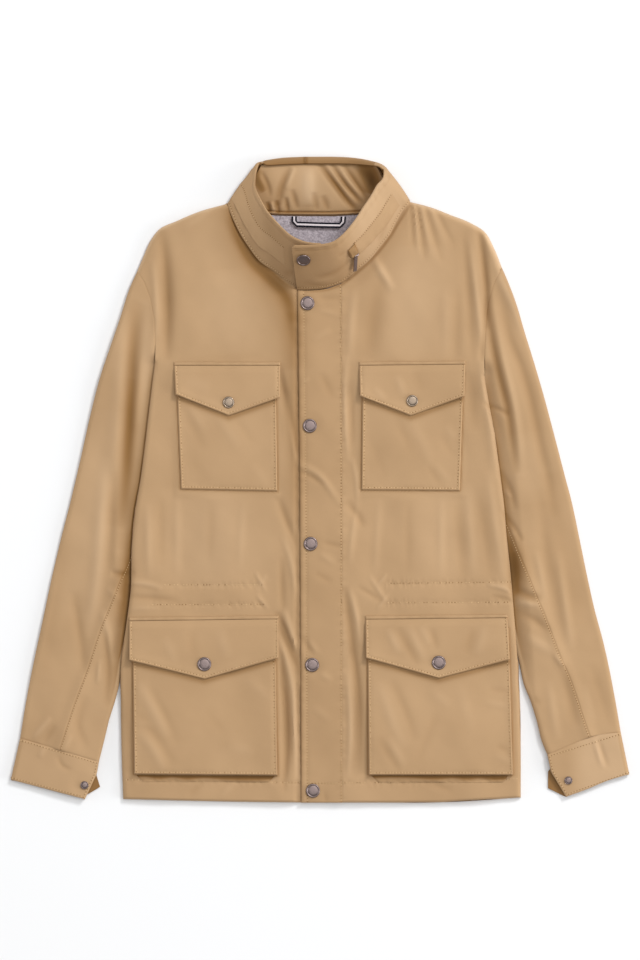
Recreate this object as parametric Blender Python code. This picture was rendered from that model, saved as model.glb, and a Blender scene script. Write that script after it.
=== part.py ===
"""A men's field jacket laid flat, front up, with every sewn piece as its own closed solid.

The sizes below are millimetres and the meshes are built in metres. +X is right and +Y is towards the
collar, seen from above, and the jacket lies on the floor at z = 0.
"""
import math

import bmesh
import bpy
import numpy as np
from mathutils import Matrix, Vector

MM = 0.001

# Cloth and its layers
CLOTH = 2.4             # shell, light padding and lining of the body and sleeves
POCKET_CLOTH = 2.0
COLLAR_CLOTH = 3.0
LINING_CLOTH = 1.2
GAP = 0.35              # between pieces that touch
LAID_GAP = 0.7          # under a piece that lies on the front
SEAM_GAP = 0.5          # between the edges of panels along a curved seam
NECK_GAP = 0.8          # between the collar and the body's neck edge
ARMHOLE_GAP = 0.9       # between the body and a sleeve along the armhole
TUCK_GAP = 1.4          # between the back's edge and the sleeve that lies beside it
PLACKET_SINK = 3.5      # how far the left front lies lower under the placket
BACK_TOP = CLOTH
FRONT_LEVEL = 9.0       # usual height of the front's upper side
SLEEVE_LEVEL = 8.2
CUFF_LEVEL = 7.8
TUCKED_LEVEL = 5.2      # the sleeve's inner edge, where the body lies over it
LIP_LEVEL = 5.9         # underside of the body's edge over the sleeve
EDGE_REACH = 6.0        # how far in a folded edge is still rounded

# Front opening
PLACKET_LEFT = (-29.0, -24.0)       # x at the neck and at the hem
PLACKET_RIGHT = (27.5, 28.7)
UNDERLAP_X = 14.0                   # the left front runs this far under the placket
SNAP_SIZES = {"placket": 18.0, "chest": 15.0, "lower": 18.0, "cuff": 11.0}
SNAP_RISE = 2.6

# Outlines of the laid garment: x, y
HEM_LEFT = ((UNDERLAP_X, -413.5), (-60, -413), (-150, -411.5), (-252, -409))
HEM_RIGHT = ((PLACKET_RIGHT[1] + SEAM_GAP, -413.5), (80, -413.5), (155, -413), (257, -407))
SIDE_LEFT = ((-252, -409), (-254, -350), (-255, -282), (-255, -241), (-249, -192), (-242.5, -141),
             (-241, -84), (-237, -39), (-230, 0), (-225, 38), (-219, 89), (-214.5, 126), (-211.5, 150),
             (-211, 180), (-212, 205), (-217, 232), (-225, 253), (-234, 267))
SIDE_RIGHT = ((257, -407), (257, -345), (256, -282), (252, -218), (247.5, -160), (243.5, -115), (239, -72),
              (235.5, -30), (231, 5), (224, 58), (216, 100), (211, 132), (210.5, 165), (212, 193),
              (214.5, 222), (221, 250), (230, 271))
SHOULDER_LEFT = ((-120, 353), (-154, 343.5), (-184, 331), (-206, 320.5), (-217, 306), (-226, 286),
                 (-234, 267))
SHOULDER_RIGHT = ((115.8, 355.5), (141, 349), (167, 339), (192, 329), (211, 317), (222, 297), (230, 271))
NECK_MIDDLE = (0.0, 300.0)
SLEEVE_OUTER_LEFT = ((-234, 267), (-243, 247), (-256, 207), (-269, 169), (-282, 130), (-294, 83), (-307, 25),
                     (-319, -26), (-332, -77), (-344, -128), (-355, -180), (-366, -231), (-376, -282),
                     (-384, -331))
SLEEVE_OUTER_RIGHT = ((230, 271), (237, 263), (250, 229), (262, 189), (275, 147), (288, 102), (301, 53),
                      (314, 3), (321.7, -26), (332.5, -77), (343, -128), (352, -168), (362, -205),
                      (378, -282), (385, -323))
SLEEVE_INNER_LEFT = ((-204, 124), (-212, 60), (-220, 0), (-229, -70), (-235, -130), (-243, -190),
                     (-253, -238), (-257, -262), (-262, -282), (-270, -308), (-276, -333), (-283, -361))
SLEEVE_INNER_RIGHT = ((203.5, 115), (210, 80), (219, 38), (224, 0), (229, -50), (232, -77), (236, -125),
                      (241, -165), (248, -205), (255.5, -237), (261, -262), (269, -282), (278, -311),
                      (284, -335), (291, -352))
ARMHOLE_LEFT = ((-204, 124), (-208.5, 136), (-211.3, 150), (-211, 180), (-212, 205), (-217, 232),
                (-225, 253), (-234, 267))
ARMHOLE_RIGHT = ((203.5, 115), (208.5, 126), (210.6, 140), (210.5, 165), (212, 193), (214.5, 222),
                 (221, 250), (230, 271))
CUFF_SEAM_LEFT = ((-283, -361), (-333, -346), (-384, -331))
CUFF_SEAM_RIGHT = ((291, -352), (326, -337), (346, -329), (385, -323))
ARMPIT_Y = {"left": 150.0, "right": 138.0}
BODY_OVER_SLEEVE = {"left": (-288.0, -260.0), "right": (-264.0, -237.0)}    # y where the overlap fades in
TUCK_REACH = (1.5, 26.0)    # the sleeve rises to its level this far outside the body's edge
# The forearm seam: share of the way down the sleeve, share of its width from the inner edge
FOREARM_SEAM_LEFT = ((0.0, 0.05), (0.42, 0.06), (0.5, 0.13), (0.57, 0.22), (0.68, 0.33), (0.84, 0.42),
                     (1.0, 0.5))
FOREARM_SEAM_RIGHT = ((0.0, 0.05), (0.36, 0.06), (0.46, 0.19), (0.56, 0.31), (0.68, 0.43), (0.84, 0.52),
                      (1.0, 0.6))
BACK_SEAM_SHARE = 0.3
# Cuffs: the upper layer ends in a slant, the under layer in a short tab: x, y
CUFF_HEM_LEFT = ((-301, -409), (-345, -397.5), (-396, -384))
CUFF_HEM_RIGHT = ((315, -406), (340, -397), (369, -385), (396, -377))
CUFF_SLANT_LEFT = ((-283, -361), (-286, -377), (-301, -409))
CUFF_SLANT_RIGHT = ((291, -352), (295.5, -374), (315, -406))
CUFF_TAB_LEFT = ((-283, -361), (-283.5, -392), (-301, -409))
CUFF_TAB_RIGHT = ((291, -352), (292, -394), (315, -406))

# Broad rises and hollows of the front and sleeves: x, y, reach in x, reach in y, rise
SWELLS = (
    (-118, 300, 60, 70, 2.0), (112, 300, 60, 70, 2.0), (-8, 245, 60, 40, 1.8),
    (-215, 60, 45, 120, 1.6), (214, 60, 45, 120, 1.6), (-228, -130, 34, 90, 1.2), (228, -130, 34, 90, 1.2),
    (-110, -330, 60, 60, -0.4), (130, -60, 80, 70, -0.3), (-120, -90, 70, 60, 0.4),
)
FOLD_DEPTH = 1.6
# The largest folds: width, rise, points x, y along each
FOLDS = (
    (9, -1.7, ((-196, 312), (-200, 240), (-198, 165))),         # left front, from the shoulder
    (8, 1.0, ((-208, 290), (-209, 215))),
    (16, -1.6, ((-104, 318), (-72, 262), (-34, 205))),          # under the left collar
    (9, -1.5, ((-52, 140), (-38, 70), (-30, 10))),              # beside the placket, left
    (8, 1.3, ((-46, 90), (-33, -20))),
    (9, -1.9, ((-50, -182), (-36, -215), (-30, -262))),
    (8, -1.8, ((-43, -256), (-41, -372))),
    (7, 1.3, ((-36, -290), (-34, -392))),
    (8, -1.8, ((206, 306), (211, 250), (204, 190))),            # right front, from the shoulder
    (9, 1.2, ((190, 300), (196, 215), (194, 170))),
    (6, -1.3, ((119, 352), (124, 330), (127, 308))),            # drawn in at the right of the neck
    (6, -1.1, ((141, 346), (144, 318))),
    (12, -1.2, ((38, 120), (44, 20), (40, -60))),               # beside the placket, right
    (10, -1.9, ((36, -104), (48, -200), (50, -300))),
    (9, 1.3, ((47, -330), (46, -396))),
    (14, -1.3, ((-170, 60), (-150, -70))),                      # across the left front
    (16, 1.1, ((-120, -20), (-96, -120))),
    (16, -1.3, ((150, 60), (120, -40), (96, -120))),            # across the right front
    (14, 1.0, ((190, 10), (196, -110))),
    (12, -1.9, ((-224, 249), (-238, 172), (-242, 90), (-247, 0), (-258, -60))),     # left sleeve
    (16, 1.0, ((-262, 120), (-285, -20), (-305, -120))),
    (9, -1.5, ((-262, -128), (-246, -118))),
    (12, -1.6, ((-272, -160), (-262, -215), (-278, -280))),
    (12, 1.1, ((-300, -190), (-312, -300))),
    (11, -2.0, ((214, 212), (220, 172), (229, 120), (240, 78))),                    # right sleeve
    (14, 1.2, ((250, 170), (272, 70), (288, -30))),
    (9, -1.9, ((249, -98), (268, -130), (280, -152))),
    (8, -1.4, ((247, -152), (262, -172))),
    (10, -1.6, ((290, -150), (300, -210), (312, -290))),
    (8, -1.5, ((268, -272), (280, -306))),
)

# Pockets: corners top left, top right, bottom right, bottom left; and how far the cloth stands up
POCKETS = {
    "chest_left": (((-184, 137), (-56.5, 137), (-54.5, -14.5), (-178, -12)), 2.6),
    "chest_right": (((54.5, 137), (184, 137), (179, -14), (53, -13)), 2.6),
    "lower_left": (((-240.5, -190), (-57, -190), (-54.5, -378.5), (-238, -377)), 5.6),
    "lower_right": (((60.5, -190), (241.5, -190), (247, -378), (62, -378)), 5.6),
}
# Flaps: top left, top right, right corner, tip, left corner
FLAPS = {
    "chest_left": ((-187, 146), (-51, 146), (-51, 105.5), (-117, 82), (-185, 109)),
    "chest_right": ((50, 146), (186, 147.5), (185, 107), (116, 82), (51, 107)),
    "lower_left": ((-244.5, -181), (-53, -178.5), (-53, -228), (-148, -255), (-244.5, -231)),
    "lower_right": ((58, -179), (240, -177), (243, -230), (152, -254), (58.5, -228)),
}
WELT_HEIGHT = 4.6
WELT_RISE = 2.2
# Bellows gussets below the lower pockets: top left, top right, bottom right, bottom left
GUSSETS = {
    "lower_left": ((-235, -378.2), (-58, -379.4), (-66, -387.5), (-226, -386.5)),
    "lower_right": ((66, -378.8), (241, -378.6), (234, -387.5), (76, -388)),
}
# Snaps: x, y, kind, what they sit on
SNAPS = {
    "snap_placket_1": (-16, 226, "placket"), "snap_placket_2": (-13, 69, "placket"),
    "snap_placket_3": (-12, -82, "placket"), "snap_placket_4": (-10, -237, "placket"),
    "snap_placket_5": (-9, -398, "placket"),
    "snap_chest_left": (-117, 99, "chest"), "snap_chest_right": (118, 101, "chest"),
    "snap_lower_left": (-148, -236, "lower"), "snap_lower_right": (152, -234, "lower"),
    "snap_cuff_left": (-301.5, -391, "cuff"), "snap_cuff_right": (318, -385, "cuff"),
}
SNAP_FLAT = 14.0        # the cloth lies level this far round a snap
COLLAR_SNAP_AT = (15.08, 53.5)      # section of the right collar, height along it

# Collar sections from the centre back to the front: seam x, y; share of the front's height that the seam
# lies at; top edge x, y, z; turn of the rolled edge in degrees; how far it lies under the other end
COLLAR_LEFT = (
    (-19, 338, 0, -19, 408, 0, 180, 0), (-58, 339, 0, -46, 407, 0, 180, 0),
    (-92, 344.5, 0, -66, 405, 0, 170, 0), (-112.5, 350.5, 0.12, -77, 404, 2, 110, 0),
    (-119, 354, 0.55, -83, 403.5, 7.5, 70, 0), (-117.3, 347.5, 0.93, -83.5, 397, 13.5, 45, 0),
    (-111, 332, 1, -84.5, 385, 19, 30, 0), (-99, 309, 1, -84, 370, 25, 25, 0),
    (-79, 281, 1, -75, 351, 34, 25, 0), (-60, 267, 1, -64, 334.5, 41, 25, 0),
    (-38, 248.5, 1, -43, 311, 51, 25, 1.4), (-24, 243.5, 1, -27, 300, 55, 25, 3.9),
    (-10, 243, 1, -13, 296, 57, 25, 4.4), (4, 242.5, 1, 1, 295, 57, 25, 4.4),
)
COLLAR_RIGHT = (
    (-18.6, 338, 0, -18.6, 408, 0, 180, 0), (20, 338, 0, 18, 408, 0, 180, 0),
    (62, 341, 0, 46, 407, 3, 170, 0), (95, 347.5, 0.05, 67, 405, 14, 140, 0),
    (111.5, 353, 0.25, 80, 402, 27, 90, 0), (116, 356, 0.6, 86.5, 396, 36, 60, 0),
    (113.5, 351.5, 0.95, 85.5, 389, 40, 40, 0), (106, 343, 1, 82, 381, 42.5, 25, 0),
    (98, 329, 1, 75, 373, 45, 25, 0), (90, 313, 1, 67, 359, 47, 25, 0), (77, 297, 1, 57, 344.5, 50, 25, 0),
    (64, 281, 1, 47, 329, 52, 25, 0), (45, 265, 1, 32, 311, 54.5, 25, 0), (28, 252, 1, 17, 300, 57, 25, 0),
    (9, 245, 1, -1, 296.5, 58.5, 25, 0), (-13, 242.5, 1, -22, 295.5, 59, 25, 0),
    (-29, 242.5, 1, -36.5, 295.5, 59, 25, 0),
)
CLOSER_SECTIONS = {"left": (2.5, 3.5, 4.5, 6.5, 7.5), "right": (2.5, 3.5, 4.5, 5.5)}
COLLAR_BOW = 2.0
ROLL_RADIUS = 5.5
ROLL_LIP = 3.0
# The padded inner collar: the collar sections that it crosses, padding at its middle and edges
INNER_COLLAR = {"left": (0.4, 1.0, 2.0, 2.5, 2.8), "right": (0.0, 1.0, 2.0, 2.5, 3.0, 3.5)}
INNER_PAD = (6.6, 3.4)
# Zip welts on the collar: first and last section, heights of the lower edge and of the upper edge at each
ZIP_WELTS = {"left": (4.5, 9.75, (9.0, 26.0), (30.0, 52.0)), "right": (7.0, 11.4, (11.0, 25.0), (33.0, 44.5))}
WELT_CLOTH = 1.3
WELT_LIFT = 0.8         # between the collar and the welt

LINING_OUTLINE = ((-90, 343.2), (-58, 338.3), (-19, 337.4), (20, 337.4), (62, 340.2), (86, 344.4), (94, 300),
                  (68, 262), (20, 238), (-30, 238), (-76, 262), (-99, 300))
LOOP_PATH = ((-33, 335.6), (-33, 331), (-29.5, 327), (-1, 326), (25.5, 325.5), (29.5, 330), (30, 335.4))
LOOP_WIDTH = 6.4
LOOP_CLOTH = 1.3
LOOP_LIFT = 2.4         # from the lining to the ribbon's underside

# Zip slider and pull on the right of the collar: section, height along the collar of the hinge
SLIDER_AT = (11.77, 29.4)
PULL_LENGTH = 24.5
PULL_WIDTH = 4.6
PULL_LEAN = -0.06       # in plan, its step to the side for each step down
PULL_THICKNESS = 1.3
EYE_RADIUS = 1.9
EYE_BORE = 0.95
PIN_RADIUS = 0.86
EAR_THICKNESS = 0.9
SLIDER_LENGTH = 8.5

COLOURS = {
    "tan": ((0.53, 0.35, 0.19), 0.55, 0.0), "collar_tan": ((0.55, 0.37, 0.20), 0.5, 0.0),
    "jersey": ((0.42, 0.38, 0.39), 0.95, 0.0), "ribbon": ((0.08, 0.08, 0.10), 0.8, 0.0),
    "metal": ((0.30, 0.26, 0.25), 0.32, 1.0),
}


# ------------------------------------------------------------------ scene and materials

def clear_scene():
    for item in list(bpy.data.objects):
        bpy.data.objects.remove(item, do_unlink=True)


def material(name):
    """The Principled material of a colour name, made once."""
    found = bpy.data.materials.get(name)
    if found:
        return found
    colour, roughness, metallic = COLOURS[name]
    made = bpy.data.materials.new(name)
    made.use_nodes = True
    shader = made.node_tree.nodes["Principled BSDF"]
    shader.inputs["Base Color"].default_value = (*colour, 1.0)
    shader.inputs["Roughness"].default_value = roughness
    shader.inputs["Metallic"].default_value = metallic
    return made


def add_solid(name, points, faces, colour):
    """A closed body from points in millimetres, with its faces turned outwards."""
    body = bmesh.new()
    corners = [body.verts.new(np.asarray(point) * MM) for point in points]
    for face in faces:
        body.faces.new([corners[index] for index in face])
    if body.calc_volume(signed=True) < 0:
        bmesh.ops.reverse_faces(body, faces=body.faces)
    mesh = bpy.data.meshes.new(name)
    body.to_mesh(mesh)
    body.free()
    mesh.materials.append(material(colour))
    mesh.shade_smooth()
    mesh.set_sharp_from_angle(angle=math.radians(40))
    made = bpy.data.objects.new(name, mesh)
    bpy.context.scene.collection.objects.link(made)
    return made


def wall(name, outer, inner, colour="tan"):
    """A sheet of cloth: two matching grids of points, joined round their rim."""
    rows, columns = outer.shape[:2]
    count = rows * columns
    points = np.concatenate((outer.reshape(-1, 3), inner.reshape(-1, 3)))
    faces = []
    for row in range(rows - 1):
        for column in range(columns - 1):
            first = row * columns + column
            quad = (first, first + 1, first + columns + 1, first + columns)
            faces.append(quad)
            faces.append(tuple(index + count for index in reversed(quad)))
    rim = [column for column in range(columns)]
    rim += [row * columns + columns - 1 for row in range(1, rows)]
    rim += [(rows - 1) * columns + column for column in range(columns - 2, -1, -1)]
    rim += [row * columns for row in range(rows - 2, 0, -1)]
    for here, after in zip(rim, rim[1:] + rim[:1]):
        faces.append((after, here, here + count, after + count))
    return add_solid(name, points, faces, colour)


def loft(name, sections, colour="tan"):
    """A closed body through closed sections of equal point counts, with flat ends."""
    rows, columns = sections.shape[:2]
    faces = [tuple(range(columns - 1, -1, -1)), tuple(range((rows - 1) * columns, rows * columns))]
    for row in range(rows - 1):
        for column in range(columns):
            beside = (column + 1) % columns
            faces.append((row * columns + column, row * columns + beside,
                          (row + 1) * columns + beside, (row + 1) * columns + column))
    return add_solid(name, sections.reshape(-1, 3), faces, colour)


# ------------------------------------------------------------------ curves and grids

def along(points, shares):
    """Points of a smooth curve through the given ones, at shares of its length."""
    points = np.asarray(points, float)
    steps = np.linalg.norm(np.diff(points, axis=0), axis=1)
    knots = np.concatenate(([0.0], np.cumsum(steps)))
    slopes = np.gradient(points, knots, axis=0)
    places = np.asarray(shares, float) * knots[-1]
    index = np.clip(np.searchsorted(knots, places, side="right") - 1, 0, len(points) - 2)
    step = steps[index][:, None]
    t = ((places - knots[index]) / steps[index])[:, None]
    return ((2 * t**3 - 3 * t**2 + 1) * points[index] + (t**3 - 2 * t**2 + t) * step * slopes[index]
            + (3 * t**2 - 2 * t**3) * points[index + 1] + (t**3 - t**2) * step * slopes[index + 1])


def rows_at(table, places):
    """Rows of a table read smoothly between its own, by row number."""
    table = np.asarray(table, float)
    slopes = np.gradient(table, axis=0)
    places = np.asarray(places, float)
    index = np.clip(places.astype(int), 0, len(table) - 2)
    t = (places - index)[:, None]
    return ((2 * t**3 - 3 * t**2 + 1) * table[index] + (t**3 - 2 * t**2 + t) * slopes[index]
            + (3 * t**2 - 2 * t**3) * table[index + 1] + (t**3 - t**2) * slopes[index + 1])


def coons(bottom, top, start, end, across, up):
    """A grid of points inside four edges; rows run up, columns across."""
    u, v = across[None, :, None], up[:, None, None]
    edges = (1 - v) * bottom[None] + v * top[None] + (1 - u) * start[:, None] + u * end[:, None]
    corners = ((1 - u) * (1 - v) * bottom[0] + u * (1 - v) * bottom[-1]
               + (1 - u) * v * top[0] + u * v * top[-1])
    return edges - corners


def distance(places, line):
    """Distance in plan from each place to a line of points."""
    line = np.asarray(line, float)
    nearest = np.full(places.shape[:-1], np.inf)
    for start, end in zip(line[:-1], line[1:]):
        run = end - start
        share = np.clip(((places - start) @ run) / (run @ run), 0, 1)
        nearest = np.minimum(nearest, np.linalg.norm(places - start - share[..., None] * run, axis=-1))
    return nearest


def ease(value, low, high):
    """0 below low, 1 above high, smooth between."""
    t = np.clip((value - low) / (high - low), 0, 1)
    return t * t * (3 - 2 * t)


def rounding(depth, reach):
    """Height share of a round edge at a depth in from it."""
    t = np.clip(depth / reach, 0, 1)
    return np.sqrt(1 - (1 - t) ** 2)


def shares_with_edge(count, first, last, length, edge_steps, both=False):
    """Even shares from first to last, with close ones a few millimetres in from the last (or both ends)."""
    close = np.asarray(edge_steps) / length
    end = last - close[::-1]
    start = first + close if both else np.array([first])
    middle = np.linspace(start[-1], end[0], count + 2)[1:-1]
    return np.concatenate((start, middle, end))


PANEL_WIDTH = 245.0
PANEL_LENGTH = 690.0
EDGE_STEPS = np.array([0.0, 0.6, 2.2, 5.5]) / PANEL_LENGTH
UP_SHARES = np.concatenate((EDGE_STEPS, np.linspace(0.03, 0.79, 16), np.linspace(0.825, 0.975, 6),
                            1 - EDGE_STEPS[::-1]))


# ------------------------------------------------------------------ heights

def relief(places):
    """Height of the upper side of the fronts and sleeves, with the largest folds."""
    x, y = places[..., 0], places[..., 1]
    body = ease(-np.abs(x), -262, -205)
    height = SLEEVE_LEVEL + (FRONT_LEVEL - SLEEVE_LEVEL) * body
    for mid_x, mid_y, reach_x, reach_y, rise in SWELLS:
        height = height + rise * np.exp(-((x - mid_x) / reach_x) ** 2 - ((y - mid_y) / reach_y) ** 2)
    folds = np.zeros(x.shape)
    for width, rise, line in FOLDS:
        smooth = along(line, np.linspace(0, 1, 4 * len(line) - 3)) if len(line) > 2 else line
        folds = folds + rise * np.exp(-(distance(places, smooth) / width) ** 2)
    return height + FOLD_DEPTH * folds * calm(places)


def calm(places):
    """1 on open cloth, less under the pockets and round the snaps, where the cloth lies level."""
    x, y = places[..., 0], places[..., 1]
    still = np.zeros(x.shape)
    for corners, _rise in POCKETS.values():
        left, right = min(corner[0] for corner in corners), max(corner[0] for corner in corners)
        low, high = min(corner[1] for corner in corners), max(corner[1] for corner in corners)
        inside = np.minimum(np.minimum(x - left, right - x), np.minimum(y - low + 10, high + 16 - y))
        still = np.maximum(still, 0.85 * ease(inside, -12, 4))
    still = np.maximum(still, 0.9 * ease(-np.abs(x), -44, -30) * ease(-y, -260, -235))
    for snap_x, snap_y, _kind in SNAPS.values():
        still = np.maximum(still, ease(-np.hypot(x - snap_x, y - snap_y), -2.2 * SNAP_FLAT, -SNAP_FLAT))
    return 1 - still


def front_left_height(places):
    """The left front sinks to pass under the placket."""
    return relief(places) - PLACKET_SINK * ease(places[..., 0], -46, -28)


def lay(name, places, top, floor, cloth, colour="tan"):
    """A sheet that lies on a floor: its upper side is at top, and it's cloth thick or rests on the floor."""
    bottom = np.maximum(top - cloth, floor)
    top = np.maximum(top, bottom + 0.5)
    upper = np.concatenate((places, top[..., None]), axis=-1)
    lower = np.concatenate((places, bottom[..., None]), axis=-1)
    return wall(name, upper, lower, colour)


# ------------------------------------------------------------------ body

def panel_floor(places, side):
    """What the front's folded edges come down to: the back, or above the sleeve where they overlap it."""
    y = places[..., 1]
    over = ease(y, *BODY_OVER_SLEEVE[side]) * (1 - ease(y, ARMPIT_Y[side] + 10, ARMPIT_Y[side] + 60))
    return BACK_TOP + GAP + (LIP_LEVEL - BACK_TOP - GAP) * over


def side_rows(side):
    """Points down a front's side edge that its rows end on, from the hem to the shoulder."""
    edge = SIDE_LEFT if side == "left" else SIDE_RIGHT
    return along(edge, UP_SHARES)


def neckline(side):
    """The front's neck edge, just outside the collar's seam, from the opening to the shoulder."""
    left = side == "left"
    table = COLLAR_LEFT if left else COLLAR_RIGHT
    opening_x = UNDERLAP_X if left else PLACKET_RIGHT[1] + SEAM_GAP
    seam = np.array([row[:2] for row in table if row[2] > 0.5])[::-1]
    run = np.gradient(seam, axis=0)
    normal = np.stack((run[:, 1], -run[:, 0]), axis=1)
    normal /= np.linalg.norm(normal, axis=1)[:, None]
    outwards = np.sign(((seam - NECK_MIDDLE) * normal).sum(axis=1))
    seam = seam + NECK_GAP * normal * outwards[:, None]
    order = 1 if left else -1
    start_y = np.interp(order * -opening_x, order * -seam[:, 0], seam[:, 1])
    beyond = order * seam[:, 0] < order * opening_x - 2
    shoulder = SHOULDER_LEFT if left else SHOULDER_RIGHT
    return np.concatenate(([[opening_x, start_y]], seam[beyond][:-1], [shoulder[0]]))


def front(side):
    """One front: rows from the hem to the shoulder and neck, columns from the opening to the side."""
    left = side == "left"
    hem = HEM_LEFT if left else HEM_RIGHT
    shoulder = SHOULDER_LEFT if left else SHOULDER_RIGHT
    neck = neckline(side)
    neck_share = 0.5 if left else 0.38
    steps = np.linalg.norm(np.diff(neck, axis=0), axis=1)
    neck_columns = neck_share * np.concatenate(([0.0], np.cumsum(steps))) / steps.sum()
    shoulder_columns = shares_with_edge(4, neck_share, 1.0, PANEL_WIDTH, (0.0, 0.5, 2.0, 4.5, 9.0))
    across = np.concatenate((neck_columns, shoulder_columns[1:]))
    side_points = side_rows(side)
    beside_sleeve = ease(side_points[:, 1], ARMPIT_Y[side] - 25, ARMPIT_Y[side])
    side_points += beside_sleeve[:, None] * np.array([1 if left else -1, 0.6]) * ARMHOLE_GAP / 2
    top = np.concatenate((neck, along(shoulder, (shoulder_columns[1:] - neck_share) / (1 - neck_share))))
    top += (side_points[-1] - top[-1]) * ease(across, 0.85, 1.0)[:, None]
    opening = neck[0] + (np.array(hem[0]) - neck[0]) * (1 - UP_SHARES)[:, None]
    places = coons(along(hem, across), top, opening, side_points, across, UP_SHARES)
    full = front_left_height(places) if left else relief(places)
    folded_side = [point for point in (SIDE_LEFT if left else SIDE_RIGHT) if point[1] <= ARMPIT_Y[side]]
    depth = np.minimum(distance(places, hem), distance(places, shoulder))
    depth = np.minimum(depth, distance(places, folded_side))
    floor = panel_floor(places, side)
    lay("front_" + side, places, floor + (full - floor) * rounding(depth, EDGE_REACH), floor, CLOTH)


def back():
    """The back: one flat sheet from the hem to the shoulders and neck, under the fronts."""
    def side_outline(side):
        edge = SIDE_LEFT if side == "left" else SIDE_RIGHT
        inner = SLEEVE_INNER_LEFT if side == "left" else SLEEVE_INNER_RIGHT
        hole = ARMHOLE_LEFT if side == "left" else ARMHOLE_RIGHT
        inward = 1 if side == "left" else -1
        parted = BODY_OVER_SLEEVE[side][1]
        free = [point for point in edge if point[1] < parted - 15]
        tucked = [tuple(point) for point in along(inner, np.linspace(0, 1, 31)) if point[1] > parted]
        tucked = [(x + inward * TUCK_GAP, y) for x, y in tucked[::-1]]
        seam = [tuple(point) for point in along(hole, np.linspace(0.05, 1, 16))]
        return free + tucked + [(x + inward * ARMHOLE_GAP, y) for x, y in seam]
    left, right = side_outline("left"), side_outline("right")
    shoulder_left = [tuple(point) for point in SHOULDER_LEFT[1:-1]]
    shoulder_right = [tuple(point) for point in SHOULDER_RIGHT[1:-1]]
    neck = [(x, y - NECK_GAP) for x, y in back_seam("left")[::-1] + back_seam("right")[1:]]
    hem = [tuple(point) for point in HEM_RIGHT[1:-1][::-1]] + [tuple(point) for point in HEM_LEFT[1:-1]]
    outline = left + shoulder_left[::-1] + neck + shoulder_right + right[::-1] + hem
    slab("back", outline, 0.0, BACK_TOP, "tan")


def back_seam(side):
    """The collar's seam to the back, from the middle to the shoulder."""
    table = COLLAR_LEFT if side == "left" else COLLAR_RIGHT
    rows = rows_at(table, [place for place in collar_places(side) if place <= 4])
    return [tuple(row[:2]) for row in rows]


def slab(name, outline, low, high, colour):
    """A flat sheet from its outline."""
    count = len(outline)
    points = [(x, y, low) for x, y in outline] + [(x, y, high) for x, y in outline]
    faces = [tuple(range(count)), tuple(range(2 * count - 1, count - 1, -1))]
    for index in range(count):
        after = (index + 1) % count
        faces.append((index, index + count, after + count, after))
    return add_solid(name, points, faces, colour)


def placket():
    """The fly strip: over the left front, stitched to the right front."""
    across = np.array([0.0, 0.012, 0.05, 0.3, 0.65, 1.0])
    up = shares_with_edge(20, 0.0, 1.0, 655.0, (0.0, 0.6, 2.2), both=True)
    hem = along(((PLACKET_LEFT[1], -413.5), (0, -413.5), (PLACKET_RIGHT[1], -413.5)), across)
    top = along(((PLACKET_LEFT[0], 242.1), (-13, 242.0), (9, 244.5), (PLACKET_RIGHT[0], 251.2)), across)
    start = along((hem[0], (-26, 0), top[0]), up)
    end = along((hem[-1], (28.7, 0), top[-1]), up)
    places = coons(hem, top, start, end, across, up)
    full = relief(places)
    free_edge = np.minimum(distance(places, start), distance(places, hem))
    rim = full - 0.85 * CLOTH
    lay("placket", places, rim + (full - rim) * rounding(free_edge, 2.5), full - CLOTH, CLOTH)


# ------------------------------------------------------------------ sleeves and cuffs

def inward(outer, thickness):
    """Steps from a grid round a flattened tube into its wall; the grid's first column lies on top."""
    normal = np.cross(np.gradient(outer, axis=0), np.gradient(outer, axis=1))
    normal /= np.linalg.norm(normal, axis=-1)[..., None]
    return normal * -np.sign(normal[:, 0, 2].mean()) * thickness


def outside_body(places, side):
    """Distance in plan outside the body's folded edge, less than 0 under it."""
    rows = side_rows(side)
    edge = rows[rows[:, 1] <= ARMPIT_Y[side] + 4]
    away = distance(places, edge)
    edge_x = np.interp(places[..., 1], edge[:, 1], edge[:, 0])
    under = (places[..., 0] > edge_x) == (side == "left")
    return np.where(under & (places[..., 1] < edge[-1, 1]), -away, away)


def tube_strip(name, plan, width, height, parts):
    """A strip of a flattened tube. Its parts run over the top, round one edge and back underneath.

    plan(share across, row) gives a place, height(place) the upper side there.
    """
    top_from, edge_at, bottom_to = parts
    rows = len(width)
    columns = []
    for share in np.linspace(0, 1, 9 if edge_at == 1 else 4):
        columns.append(("top", share))
    for angle in np.radians((55, 20, -25, -90)):
        columns.append(("edge", angle))
    beneath = np.linspace(0, 1, 5 if edge_at == 1 else 4)[1:]
    columns += [("bottom", share) for share in beneath]
    outer = np.zeros((rows, len(columns), 3))
    reach = EDGE_REACH
    toward = 1 if edge_at == 1 else -1
    for row in range(rows):
        near = edge_at - toward * reach / width[row]
        for column, (kind, value) in enumerate(columns):
            if kind == "top":
                share = top_from[row] + (near - top_from[row]) * value
                place = plan(share, row)
                outer[row, column] = (*place, height(place))
            elif kind == "edge":
                share = edge_at - toward * reach * (1 - math.cos(value)) / width[row]
                full = height(plan(near, row))
                outer[row, column] = (*plan(share, row), full / 2 * (1 + math.sin(value)))
            else:
                outer[row, column] = (*plan(near + (bottom_to[row] - near) * value, row), 0.0)
    inner = outer + inward(outer, CLOTH)
    lying = -len(beneath) - 1
    inner[:, lying:] = outer[:, lying:] + (0, 0, CLOTH)
    inner[:, 0, 2] = outer[:, 0, 2] - CLOTH
    inner[:, 0, :2] = outer[:, 0, :2]
    return wall(name, outer, inner)


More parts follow.
